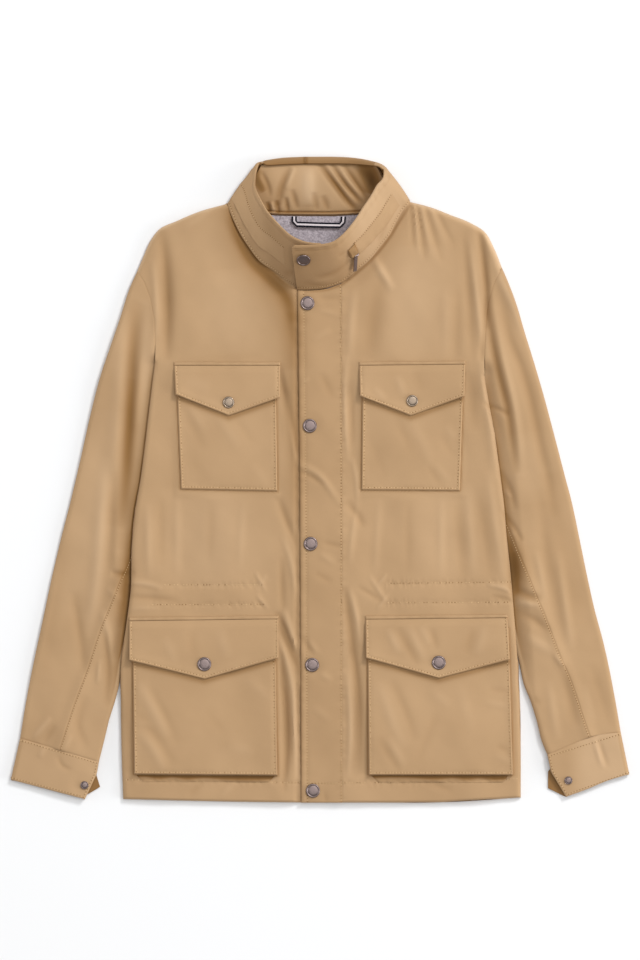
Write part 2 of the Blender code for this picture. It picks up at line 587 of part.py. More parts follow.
def sleeve(side):
    """A flattened two-piece sleeve: rings from the armhole to the cuff seam."""
    left = side == "left"
    outer_edge = SLEEVE_OUTER_LEFT if left else SLEEVE_OUTER_RIGHT
    inner_edge = SLEEVE_INNER_LEFT if left else SLEEVE_INNER_RIGHT
    hole = ARMHOLE_LEFT if left else ARMHOLE_RIGHT
    cuff_seam = CUFF_SEAM_LEFT if left else CUFF_SEAM_RIGHT
    seam_table = np.array(FOREARM_SEAM_LEFT if left else FOREARM_SEAM_RIGHT)
    out = -1 if left else 1
    down = np.concatenate(([0.0, 0.025], np.linspace(0.065, 1.0, 15)))
    across_samples = np.linspace(0, 1, 41)
    hole_points = along(hole, across_samples) + np.array([out, -0.6]) * ARMHOLE_GAP / 2
    cuff_points = along(cuff_seam, across_samples)
    start, end = along(inner_edge, down), along(outer_edge, down)
    grid = coons(hole_points, cuff_points, start, end, across_samples, down)
    grid[0] = hole_points
    width = np.linalg.norm(np.diff(grid, axis=1), axis=2).sum(axis=1)

    def plan(share, row):
        return np.array([np.interp(share, across_samples, grid[row, :, axis]) for axis in (0, 1)])

    def height(place):
        risen = ease(outside_body(place[None], side)[0], *TUCK_REACH)
        return TUCKED_LEVEL + (relief(place[None])[0] - TUCKED_LEVEL) * risen

    seam = np.interp(down, seam_table[:, 0], seam_table[:, 1])
    half_gap = GAP / 2 / width
    under_end = np.full(len(down), BACK_SEAM_SHARE)
    tube_strip("sleeve_top_" + side, plan, width, height, (seam + half_gap, 1, under_end + half_gap))
    tube_strip("sleeve_under_" + side, plan, width, height, (seam - half_gap, 0, under_end - half_gap))


def cuff(side):
    """A cuff band: over the top from its slanted end, round the outer edge, and back to its tab."""
    left = side == "left"
    seam_line = CUFF_SEAM_LEFT if left else CUFF_SEAM_RIGHT
    hem_line = CUFF_HEM_LEFT if left else CUFF_HEM_RIGHT
    slant = CUFF_SLANT_LEFT if left else CUFF_SLANT_RIGHT
    tab = CUFF_TAB_LEFT if left else CUFF_TAB_RIGHT
    edge = (seam_line[-1], hem_line[-1])
    down = np.array([0.0, 0.25, 0.5, 0.75, 1.0])
    samples = np.linspace(0, 1, 31)
    shift = np.array([0.0, -GAP])

    def layer(inner_end):
        start = along(inner_end, down)
        end = edge[0] + (np.array(edge[1]) - edge[0]) * down[:, None]
        return coons(along(seam_line, samples), along(hem_line, samples), start, end, samples, down) + shift

    upper, under = layer(slant), layer(tab)
    width = np.linalg.norm(np.diff(upper, axis=1), axis=2).sum(axis=1)
    angles = np.radians((60, 30, 0, -40, -90))
    tops = np.linspace(0, 1, 6)
    beneath = np.linspace(0, 1, 5)[1:]
    outer = np.zeros((len(down), len(tops) + len(angles) + len(beneath), 3))
    for row in range(len(down)):
        near = 1 - EDGE_REACH / width[row]
        for column, share in enumerate(tops):
            place = [np.interp(share * near, samples, upper[row, :, axis]) for axis in (0, 1)]
            outer[row, column] = (*place, CUFF_LEVEL)
        for column, angle in enumerate(angles, len(tops)):
            share = 1 - EDGE_REACH * (1 - math.cos(angle)) / width[row]
            place = [np.interp(share, samples, upper[row, :, axis]) for axis in (0, 1)]
            outer[row, column] = (*place, CUFF_LEVEL / 2 * (1 + math.sin(angle)))
        for column, share in enumerate(beneath, len(tops) + len(angles)):
            place = [np.interp(near * (1 - share), samples, under[row, :, axis]) for axis in (0, 1)]
            outer[row, column] = (*place, 0.0)
    inner = outer + inward(outer, CLOTH)
    inner[:, 0] = outer[:, 0] - (0, 0, CLOTH)
    lying = -len(beneath) - 1
    inner[:, lying:] = outer[:, lying:] + (0, 0, CLOTH)
    wall("cuff_" + side, outer, inner)


# ------------------------------------------------------------------ pockets

def patch_grid(corners, across, up):
    """A grid in a four-cornered patch, rows from its lower to its upper edge."""
    top_left, top_right, low_right, low_left = (np.array(corner, float) for corner in corners)
    u, v = across[None, :, None], up[:, None, None]
    return (1 - v) * ((1 - u) * low_left + u * low_right) + v * ((1 - u) * top_left + u * top_right)


def edge_depth(corners, places):
    """Distance in plan from a patch's own edge."""
    ring = list(corners) + [corners[0]]
    return distance(places, ring)


def pocket_stand(name, places):
    """How far a pocket stands up from the front: a bellows pocket more towards its bottom."""
    corners, rise = POCKETS[name]
    if rise < 4:
        return np.full(places.shape[:-1], rise)
    down = (corners[0][1] - places[..., 1]) / (corners[0][1] - corners[3][1])
    return rise * (0.55 + 0.45 * ease(down, 0.25, 0.75))


def pocket(name):
    """A pocket: its cloth stands up from the front and comes down to it round the edge."""
    corners = POCKETS[name][0]
    wide, high = corners[1][0] - corners[0][0], corners[0][1] - corners[3][1]
    across = shares_with_edge(4, 0.0, 1.0, wide, (0.0, 0.6, 2.6), both=True)
    up = shares_with_edge(4, 0.0, 1.0, high, (0.0, 0.6, 2.6), both=True)
    places = patch_grid(corners, across, up)
    floor = relief(places) + LAID_GAP
    top = floor + 0.6 + (pocket_stand(name, places) - 0.6) * rounding(edge_depth(corners, places), 3.0)
    lay("pocket_" + name, places, top, floor, POCKET_CLOTH)


def flap_floor(name, places):
    """Underside of a flap: on the front at its seam, and over the pocket below that."""
    drop = distance(places, FLAPS[name][:2])
    return relief(places) + LAID_GAP + (pocket_stand(name, places) + 2 * GAP) * ease(drop, 1.0, 8.0)


def flap(name):
    """A pointed flap over the pocket's mouth, sewn to the front along its top."""
    top_left, top_right, right, tip, left = (np.array(point, float) for point in FLAPS[name])
    wide = top_right[0] - top_left[0]
    tip_share = (tip[0] - left[0]) / (right[0] - left[0])
    across = np.unique((0.0, 0.8 / wide, 0.25, tip_share, 0.75, 1 - 0.8 / wide, 1.0))
    up = np.array([0.0, 0.015, 0.06, 0.45, 0.82, 1.0])
    lower = np.where((across <= tip_share)[:, None], left + (tip - left) * (across / tip_share)[:, None],
                     tip + (right - tip) * ((across - tip_share) / (1 - tip_share))[:, None])
    upper = top_left + (top_right - top_left) * across[:, None]
    places = lower[None] + (upper - lower)[None] * up[:, None, None]
    floor = flap_floor(name, places)
    ring = (left, tip, right, top_right, top_left, left)
    top = floor + 0.7 + (POCKET_CLOTH - 0.7) * rounding(distance(places, ring), 2.2)
    lay("flap_" + name, places, top, floor, POCKET_CLOTH)


def welt(name):
    """The narrow welt above a flap."""
    top_left, top_right = (np.array(point, float) for point in FLAPS[name][:2])
    lift = np.array([0.0, GAP])
    corners = (top_left + (0, WELT_HEIGHT) + lift, top_right + (0, WELT_HEIGHT) + lift, top_right + lift,
               top_left + lift)
    places = patch_grid(corners, np.linspace(0, 1, 6), np.array([0.0, 0.2, 0.8, 1.0]))
    floor = relief(places) + LAID_GAP
    top = floor + 0.6 + (WELT_RISE - 0.6) * rounding(edge_depth(corners, places), 1.4)
    lay("welt_" + name, places, top, floor, POCKET_CLOTH)


def gusset(name):
    """The bellows fold that shows below a lower pocket."""
    corners = GUSSETS[name]
    across = np.array([0.0, 0.01, 0.2, 0.4, 0.6, 0.8, 0.99, 1.0])
    up = np.array([0.0, 0.12, 0.5, 1.0])
    places = patch_grid(corners, across, up)
    floor = relief(places) + LAID_GAP
    outer_edge = (corners[0], corners[3], corners[2], corners[1])
    top = floor + 0.6 + 1.8 * rounding(distance(places, outer_edge), 2.5)
    lay("gusset_" + name, places, top, floor, POCKET_CLOTH)


# ------------------------------------------------------------------ collar

def collar_frames(side, places):
    """Seam point, direction up the collar, outward normal, length, roll and drop at each place."""
    table = COLLAR_LEFT if side == "left" else COLLAR_RIGHT
    places = np.asarray(places, float)

    def edges(at):
        rows = rows_at(table, at)
        share = np.clip(rows[:, 2], 0, 1)
        low = np.column_stack((rows[:, 0], rows[:, 1], share * relief(rows[:, :2])))
        return rows, share, low, np.maximum(rows[:, 3:6], (-np.inf, -np.inf, 0))

    rows, share, seam, top = edges(places)
    length = np.linalg.norm(top - seam, axis=1)
    direction = (top - seam) / length[:, None]
    before, after = edges(np.maximum(places - 0.1, 0)), edges(np.minimum(places + 0.1, len(table) - 1))
    run = after[2] + after[3] - before[2] - before[3]
    normal = np.cross(run, direction) * (1 if side == "left" else -1)
    normal /= np.linalg.norm(normal, axis=1)[:, None]
    seam = seam - normal * rows[:, 7][:, None]
    return seam, direction, normal, length, np.maximum(rows[:, 6], 20), share


def collar_point(side, place, height, outwards=0.0):
    """A point on the collar's outer side, with the directions up the collar and outwards there."""
    seam, direction, normal, length, _roll, share = (value[0] for value in collar_frames(side, [place]))
    bow = COLLAR_BOW * share * math.sin(math.pi * min(height / length, 1))
    return seam + direction * height + normal * (bow + outwards), direction, normal


def collar_profile(length, roll, bow):
    """Section of the collar: along it, out from it. The top edge turns inwards by the roll's angle."""
    turn = math.radians(roll)
    lip = ROLL_LIP * math.sin(turn / 2)
    heights = np.linspace(0, length, 5)
    angles = np.linspace(0, turn, 5)[1:]
    radii = (ROLL_RADIUS, ROLL_RADIUS - COLLAR_CLOTH)
    sides = []
    for depth, radius in zip((0.0, COLLAR_CLOTH), radii):
        points = [(height, bow * math.sin(math.pi * height / length) - depth) for height in heights]
        for angle in angles:
            points.append((length + radius * math.sin(angle), radius * math.cos(angle) - ROLL_RADIUS))
        points.append((points[-1][0] + lip * math.cos(turn), points[-1][1] - lip * math.sin(turn)))
        sides.append(points)
    outer_end, inner_end = np.array(sides[0][-1]), np.array(sides[1][-1])
    beyond = (outer_end + inner_end) / 2 + np.array([math.cos(turn), -math.sin(turn)]) * 0.8
    return np.array(sides[0] + [tuple(beyond)] + sides[1][::-1])


def collar_places(side):
    """Where the outer collar has its sections: at each row of its table, and closer round the fold."""
    table = COLLAR_LEFT if side == "left" else COLLAR_RIGHT
    return np.sort(np.concatenate((np.arange(len(table), dtype=float), CLOSER_SECTIONS[side])))


def outer_collar(side):
    """Half of the outer collar, from the centre back seam to its front end."""
    frames = collar_frames(side, collar_places(side))
    sections = []
    for seam, direction, normal, length, roll, share in zip(*frames):
        profile = collar_profile(length, roll, COLLAR_BOW * share)
        sections.append(seam + profile[:, :1] * direction + profile[:, 1:] * normal)
    loft("collar_outer_" + side, np.array(sections), "collar_tan")


def inner_collar():
    """The padded inner collar, where it shows at the back of the neck."""
    left, right = (collar_frames(side, INNER_COLLAR[side]) for side in ("left", "right"))
    seam, direction, normal, length = (np.concatenate((a[::-1], b)) for a, b in zip(left[:4], right[:4]))
    ups = np.array([0.0, 0.02, 0.08, 0.25, 0.5, 0.75, 0.92, 1.0])
    ends = np.sin(np.linspace(0, np.pi, len(seam))) ** 0.25
    outer, inner = [], []
    mid_pad, edge_pad = INNER_PAD
    for index in range(len(seam)):
        reach = length[index] - 1.5
        heights = 1.0 + ups * (reach - 1.0)
        pad = edge_pad + (mid_pad - edge_pad) * np.sin(np.pi * ups) ** 0.8 * ends[index]
        pad[0] *= 0.35
        pad[1] *= 0.75
        base = seam[index] + heights[:, None] * direction[index] - (COLLAR_CLOTH + GAP) * normal[index]
        outer.append(base)
        inner.append(base - pad[:, None] * normal[index])
    wall("collar_inner", np.array(inner), np.array(outer), "collar_tan")


def zip_welt(side):
    """The cloth strip over the hood's zip, raised along the outer collar."""
    first, last, low, high = ZIP_WELTS[side]
    between = [place for place in collar_places(side) if first < place < last]
    places = [first] + between + [last]
    rise = np.array([0.5, 1.0, 1.0, 0.5]) * WELT_CLOTH
    outer, inner = [], []
    for index, place in enumerate(places):
        end = 0.5 if index in (0, len(places) - 1) else 1.0
        edges = [np.interp(place, (first, last), edge) for edge in (low, high)]
        rows = [collar_point(side, place, height) for height in np.linspace(*edges, 4)]
        inner.append([point + WELT_LIFT * normal for point, _up, normal in rows])
        lifts = WELT_LIFT + end * rise
        outer.append([point + lift * normal for (point, _up, normal), lift in zip(rows, lifts)])
    wall("zip_welt_" + side, np.array(outer), np.array(inner), "collar_tan")


def lining():
    slab("neck_lining", LINING_OUTLINE, BACK_TOP + GAP, BACK_TOP + GAP + LINING_CLOTH, "jersey")


def hanger_loop():
    """A ribbon that leaves the lining at the collar seam, turns two cut corners and comes back to it."""
    path = np.array(LOOP_PATH)
    run = np.gradient(path, axis=0)
    across = np.stack((-run[:, 1], run[:, 0]), axis=1)
    across /= np.linalg.norm(across, axis=1)[:, None]
    across[0], across[-1] = (1, 0), (-1, 0)
    edges = [path + across * offset for offset in (-LOOP_WIDTH / 2, 0.0, LOOP_WIDTH / 2)]
    places = np.stack(edges, axis=1)
    lift = np.full(len(path), LOOP_LIFT)
    lift[[0, -1]] = GAP
    height = np.repeat(BACK_TOP + GAP + LINING_CLOTH + lift[:, None], 3, axis=1)
    lay("hanger_loop", places, height + LOOP_CLOTH, height, LOOP_CLOTH, "ribbon")


# ------------------------------------------------------------------ snaps and zip pull

def turned(name, centre, up, profile, sides=12, colour="metal"):
    """A turned body: radius and height rows round an axis, closed by discs at its ends."""
    up = np.asarray(up, float) / np.linalg.norm(up)
    first = np.cross(up, (0.0, 1.0, 0.0))
    first /= np.linalg.norm(first)
    second = np.cross(up, first)
    sections = []
    for radius, height in profile:
        angles = np.arange(sides) * 2 * math.pi / sides
        ring = [centre + up * height + radius * (math.cos(a) * first + math.sin(a) * second) for a in angles]
        sections.append(ring)
    return loft(name, np.array(sections), colour)


def snap(name, centre, up, size):
    """A snap cap: a domed disc with a raised rim."""
    radius = size / 2
    profile = ((radius * 0.92, 0.0), (radius, SNAP_RISE * 0.45), (radius * 0.9, SNAP_RISE),
               (radius * 0.74, SNAP_RISE * 0.75), (radius * 0.3, SNAP_RISE * 0.92))
    turned(name, centre, up, profile)


def snaps():
    """Snaps on the placket, flaps and cuffs, and the one on the collar."""
    for name, (x, y, kind) in SNAPS.items():
        place = np.array([[x, y]], float)
        height = relief(place)[0] + GAP
        if kind in ("chest", "lower"):
            height = flap_floor(name.replace("snap_", ""), place)[0] + POCKET_CLOTH + GAP
        elif kind == "cuff":
            height = CUFF_LEVEL + GAP
        snap(name, np.array([x, y, height]), (0, 0, 1), SNAP_SIZES[kind])
    point, _up, normal = collar_point("right", *COLLAR_SNAP_AT, GAP)
    snap("snap_collar", point, normal, SNAP_SIZES["placket"])


def pull_frame():
    """Hinge point of the zip pull, with its directions across, down along the pull and outwards."""
    point, _up, normal = collar_point("right", *SLIDER_AT)
    down = np.array((PULL_LEAN, -1.0, 0.0))
    down[2] = -(down @ normal) / normal[2]
    down /= np.linalg.norm(down)
    across = np.cross(down, normal)
    across /= np.linalg.norm(across)
    hinge = point + normal * (GAP + WELT_CLOTH + EYE_RADIUS)
    return hinge, across, down, normal


def extruded(name, outline, width, frame, hole=None, colour="metal"):
    """A profile in the down and outward directions of a frame, drawn out across it."""
    hinge, across, down, normal = frame
    rings = [outline] if hole is None else [outline, hole]
    count = len(outline)
    points, faces = [], []
    for ring in rings:
        for shift in (-width / 2, width / 2):
            points += [hinge + across * shift + down * a + normal * b for a, b in ring]
    for index in range(count):
        after = (index + 1) % count
        faces.append((index, after, after + count, index + count))
        if hole is not None:
            low, high = 2 * count, 3 * count
            faces.append((low + after, low + index, high + index, high + after))
            faces.append((after, index, low + index, low + after))
            faces.append((index + count, after + count, high + after, high + index))
    if hole is None:
        faces += [tuple(range(count - 1, -1, -1)), tuple(range(count, 2 * count))]
    return add_solid(name, points, faces, colour)


def zip_pull():
    """The pull tab: an eye round the slider's pin and a slim plate that hangs from it."""
    angles = np.radians(np.arange(0, 360, 24))
    half = PULL_THICKNESS / 2
    outline, hole = [], []
    for angle in angles:
        hole.append((EYE_BORE * math.cos(angle), EYE_BORE * math.sin(angle)))
        if abs(angle) < 0.1:
            outline.append((PULL_LENGTH, 0.0))
        else:
            outline.append((EYE_RADIUS * math.cos(angle), EYE_RADIUS * math.sin(angle)))
    plate = [(PULL_LENGTH - 0.6, half), (EYE_RADIUS * 1.02, half)]
    outline[0] = (PULL_LENGTH, 0.0)
    outline[1], outline[-1] = plate[0], (plate[0][0], -half)
    outline[2], outline[-2] = plate[1], (plate[1][0], -half)
    frame = pull_frame()
    pull = extruded("zip_pull", outline, PULL_WIDTH, frame, hole)
    hinge = Vector(frame[0]) * MM
    pull.data.transform(Matrix.Translation(-hinge))
    pull.location = hinge


def zip_slider():
    """The slider: a base on the collar, two ears and the pin between them, as one body."""
    frame = pull_frame()
    hinge, across, down, normal = frame
    base_low, base_high = -EYE_RADIUS - WELT_CLOTH, -EYE_RADIUS - GAP
    back_end, front_end = -SLIDER_LENGTH * 0.75, SLIDER_LENGTH * 0.25
    ear = ((back_end, base_low), (front_end, base_low), (front_end, base_high), (1.3, 0.9), (0.0, 1.3),
           (-1.3, 0.9), (back_end * 0.8, base_high), (back_end, base_high))
    inner = PULL_WIDTH / 2 + GAP
    outer = inner + EAR_THICKNESS
    parts = []
    for shift in (-(inner + outer) / 2, (inner + outer) / 2):
        moved = (hinge + across * shift, across, down, normal)
        parts.append(extruded("ear", ear, EAR_THICKNESS, moved))
    inset = EAR_THICKNESS / 10
    base = ((back_end + inset, base_low + inset), (front_end - inset, base_low + inset),
            (front_end - inset, base_high - inset), (back_end + inset, base_high - inset))
    parts.append(extruded("base", base, 2 * inner + EAR_THICKNESS, frame))
    pin = turned("pin", hinge - across * (inner + EAR_THICKNESS / 2), across,
                 ((PIN_RADIUS, 0.0), (PIN_RADIUS, 2 * inner + EAR_THICKNESS)), sides=10)
    parts.append(pin)
    first = parts[0]
    first.name = "zip_slider"
    for other in parts[1:]:
        union = first.modifiers.new("union", "BOOLEAN")
        union.operation = "UNION"
        union.solver = "EXACT"
        union.object = other
        other.hide_render = True
        other.display_type = "WIRE"


def build():
    clear_scene()
    back()
    for side in ("left", "right"):
        front(side)
        sleeve(side)
        cuff(side)
        outer_collar(side)
        zip_welt(side)
    placket()
    for name in POCKETS:
        pocket(name)
        flap(name)
        welt(name)
    for name in GUSSETS:
        gusset(name)
    inner_collar()
    lining()
    hanger_loop()
    snaps()
    zip_slider()
    zip_pull()


build()
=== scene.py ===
"""The field jacket's looks: every panel as a thin shell of cloth with its folds, seams, stitches and snaps.

The sizes below are millimetres; +X is right, +Y is towards the collar and +Z is up from the floor.
"""
import math

import bmesh
import bpy
import numpy as np
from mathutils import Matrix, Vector


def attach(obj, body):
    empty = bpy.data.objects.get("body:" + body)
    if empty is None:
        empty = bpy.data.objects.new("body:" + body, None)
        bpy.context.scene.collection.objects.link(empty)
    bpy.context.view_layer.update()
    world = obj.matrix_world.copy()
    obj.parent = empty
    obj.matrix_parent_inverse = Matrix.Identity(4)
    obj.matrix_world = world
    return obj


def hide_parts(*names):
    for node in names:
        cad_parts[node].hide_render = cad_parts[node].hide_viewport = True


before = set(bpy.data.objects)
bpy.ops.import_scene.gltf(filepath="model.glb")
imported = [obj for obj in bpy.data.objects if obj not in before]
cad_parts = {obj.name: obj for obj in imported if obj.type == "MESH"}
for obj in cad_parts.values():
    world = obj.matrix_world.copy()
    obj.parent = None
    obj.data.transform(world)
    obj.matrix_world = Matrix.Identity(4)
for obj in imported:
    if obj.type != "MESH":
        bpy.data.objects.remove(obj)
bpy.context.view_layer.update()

MM = 0.001              # metres
BODY = "jacket"

# Thickness of the sheets, and the levels that they lie at
CLOTH = 2.4
POCKET_CLOTH = 1.9
COLLAR_CLOTH = 3.0
SLEEVE_CLOTH = 1.2
CUFF_CLOTH = 1.7
PLACKET_SINK = 3.5      # how far the left front dips under the placket
BACK_TOP = 2.4
REST = 0.1              # between a sheet and what it lies on
FRONT_LEVEL = 9.0
SLEEVE_LEVEL = 8.2
CUFF_LEVEL = 7.8
TUCKED_LEVEL = 3.4      # of a sleeve under the body's edge
LIP_LEVEL = 5.6         # of the body's edge over a sleeve
EDGE_REACH = 6.0        # how far in from a folded edge the cloth rounds down
EDGE_ANGLES = (72, 58, 44, 30, 15, 0, -20, -45, -90)    # rows round a tube's folded edge, degrees

# Mesh cells: usual size, and distances of the finer rows by an edge
GRID = 2.6
CLOSE_ROWS = (0.0, 0.35, 0.9, 1.7, 2.7, 4.0, 5.8)
TUBE_ROWS = (0.0, 0.5, 1.2, 2.2, 3.6)
SHARP_ANGLE = 44        # edges that turn more are drawn sharp, degrees

# Dips along sewn seams: depth, width
ARMHOLE_DIP = (0.25, 0.8)
FOREARM_DIP = (0.4, 0.8)
COLLAR_DIP = (1.6, 2.6)
PLACKET_COLLAR_DIP = (1.4, 2.6)
SLEEVE_END_DIP = (0.5, 1.1)
CUFF_DIP = (0.5, 1.4)

# Ridges and grooves beside stitched edges: distance in, rise, width
PLACKET_BEADS = ((8.0, -0.55, 1.3), (3.6, 0.5, 3.0))
POCKET_BEADS = ((3.2, -0.4, 1.1), (1.6, 0.4, 0.9))
FLAP_BEADS = ((3.2, -0.45, 0.9), (1.5, 0.5, 0.9))
COLLAR_FOOT_BEADS = ((4.0, -0.5, 1.2), (0.0, -0.7, 1.6))
COLLAR_EDGE_BEADS = ((5.0, -0.35, 1.2),)
INNER_BEADS = ((4.2, -1.6, 0.9), (2.0, 0.5, 1.2))
# Painted shade along the inner collar's seam: distance in, darkness, width
INNER_SEAM_SHADE = ((4.2, 0.3, 1.0),)

# Painted shade beside edges: darkness (less than 0: painted highlight), width. The single values are the
# darkness of painted shade over a part.
POCKET_SHADE = (0.34, 1.8)
SHOULDER_SHADE = (-0.3, 2.6)
FLAP_SHADE = (0.34, 4.2)
ARMHOLE_SHADE = (0.09, 0.8)
FOREARM_SHADE = (0.1, 0.9)
UNDER_CUFF_SHADE = 0.45
LEFT_CUFF_SHADE = -0.04
RIGHT_CUFF_SHADE = -0.16        # at its outer end
PLACKET_SHADE = 0.05

# Front opening
PLACKET_LEFT = (-29.0, -24.0)
PLACKET_RIGHT = (27.5, 28.7)
PLACKET_MIDDLE = (-26, 0)       # a point of its free edge
PLACKET_TOP_Y = 242
HEM_Y = -413.5
UNDERLAP_X = 14.0
BESIDE_PLACKET = 0.04           # between the placket's seam and the right front
SNAP_SIZES = {"placket": 18.0, "chest": 15.0, "lower": 18.0, "cuff": 10.4}

# Outlines of the laid garment on each side: x, y; the forearm seam: share down, share across
HEM = {
    "left": ((UNDERLAP_X, HEM_Y), (-60, -413), (-150, -411.5), (-252, -409)),
    "right": ((PLACKET_RIGHT[1] + BESIDE_PLACKET, HEM_Y), (80, -413.5), (155, -413), (257, -407)),
}
SIDE_EDGE = {
    "left": ((-252, -409), (-254, -350), (-255, -282), (-255, -241), (-249, -192), (-242.5, -141),
             (-241, -84), (-237, -39), (-230, 0), (-225, 38), (-219, 89), (-214.5, 126), (-211.5, 150),
             (-211, 180), (-212, 205), (-217, 232), (-225, 253), (-234, 267)),
    "right": ((257, -407), (257, -345), (256, -282), (252, -218), (247.5, -160), (243.5, -115), (239, -72),
              (235.5, -30), (231, 5), (224, 58), (216, 100), (211, 132), (210.5, 165), (212, 193),
              (214.5, 222), (222, 250), (233, 271)),
}
SHOULDER = {
    "left": ((-120, 353), (-154, 343.5), (-184, 331), (-206, 320.5), (-217, 306), (-226, 286), (-234, 267)),
    "right": ((115.8, 355.5), (141, 349), (167, 339), (192, 329), (211, 317), (223, 296), (233, 271)),
}
NECK_MIDDLE = (0.0, 300.0)
NECK_TUCK = 2.2         # how far the fronts run under the collar
SLEEVE_OUTER = {
    "left": ((-234, 267), (-243, 247), (-256, 207), (-269, 169), (-282, 130), (-294, 83), (-307, 25),
             (-319, -26), (-332, -77), (-344, -128), (-355, -180), (-366, -231), (-376, -282), (-384, -331)),
    "right": ((233, 271), (237.5, 261), (250, 229), (262, 189), (275, 147), (288, 102), (301, 53), (314, 3),
              (321.7, -26), (332.5, -77), (343, -128), (352, -168), (362, -205), (378, -282), (385, -323)),
}
SLEEVE_INNER = {
    "left": ((-204, 124), (-212, 60), (-220, 0), (-229, -70), (-235, -130), (-243, -190), (-253, -238),
             (-257, -262), (-262, -282), (-270, -308), (-276, -333), (-283, -361)),
    "right": ((203.5, 115), (210, 80), (219, 38), (224, 0), (229, -50), (232, -77), (236, -125),
              (241, -165), (248, -205), (255.5, -237), (261, -262), (269, -282), (278, -311), (284, -335),
              (291, -352)),
}
ARMHOLE = {
    "left": ((-204, 124), (-208.5, 136), (-211.3, 150), (-211, 180), (-212, 205), (-217, 232), (-225, 253),
             (-234, 267)),
    "right": ((203.5, 115), (208.5, 126), (210.6, 140), (210.5, 165), (212, 193), (214.5, 222), (222, 250),
              (233, 271)),
}
CUFF_SEAM = {
    "left": ((-283, -361), (-333, -346), (-384, -331)),
    "right": ((291, -352), (326, -337), (346, -329), (385, -323)),
}
ARMPIT_Y = {"left": 150.0, "right": 138.0}
BODY_OVER_SLEEVE = {"left": (-288.0, -260.0), "right": (-264.0, -237.0)}
TUCK_REACH = (0.5, 22.0)        # where the sleeve rises beside the body
FOREARM_SEAM = {
    "left": ((0.0, 0.05), (0.42, 0.06), (0.5, 0.13), (0.57, 0.22), (0.68, 0.33), (0.84, 0.42), (1.0, 0.5)),
    "right": ((0.0, 0.05), (0.36, 0.06), (0.46, 0.19), (0.56, 0.31), (0.68, 0.43), (0.84, 0.52), (1.0, 0.6)),
}
BACK_SEAM_SHARE = 0.3           # where the sleeve's back seam lies, across its underside
CUFF_HEM = {
    "left": ((-301, -409), (-345, -397.5), (-396, -384)),
    "right": ((315, -406), (340, -397), (369, -385), (396, -377)),
}
SEAM_LAP = 0.5          # how far a sewn edge runs under its neighbour
CUFF_SLANT = {
    "left": ((-283, -361), (-286, -377), (-301, -409)),
    "right": ((291, -352), (295.5, -374), (315, -406)),
}
CUFF_TAB = {
    "left": ((-283, -361), (-286.2, -378.5), (-281.6, -393.3), (-295, -401.3), (-299, -403.5), (-301, -409)),
    "right": ((291, -352), (295, -370), (292, -373.5), (292, -395), (311, -404.5), (315, -406)),
}

# Broad rises and hollows: x, y, reach in x, reach in y, rise
SWELLS = (
    (-118, 300, 60, 70, 2.0), (112, 300, 60, 70, 2.0), (-8, 245, 60, 40, 1.8),
    (-215, 60, 45, 120, 1.6), (214, 60, 45, 120, 1.6), (-228, -130, 34, 90, 1.2), (228, -130, 34, 90, 1.2),
    (-110, -330, 60, 60, -0.4), (130, -60, 80, 70, -0.3), (-120, -90, 70, 60, 0.4),
)
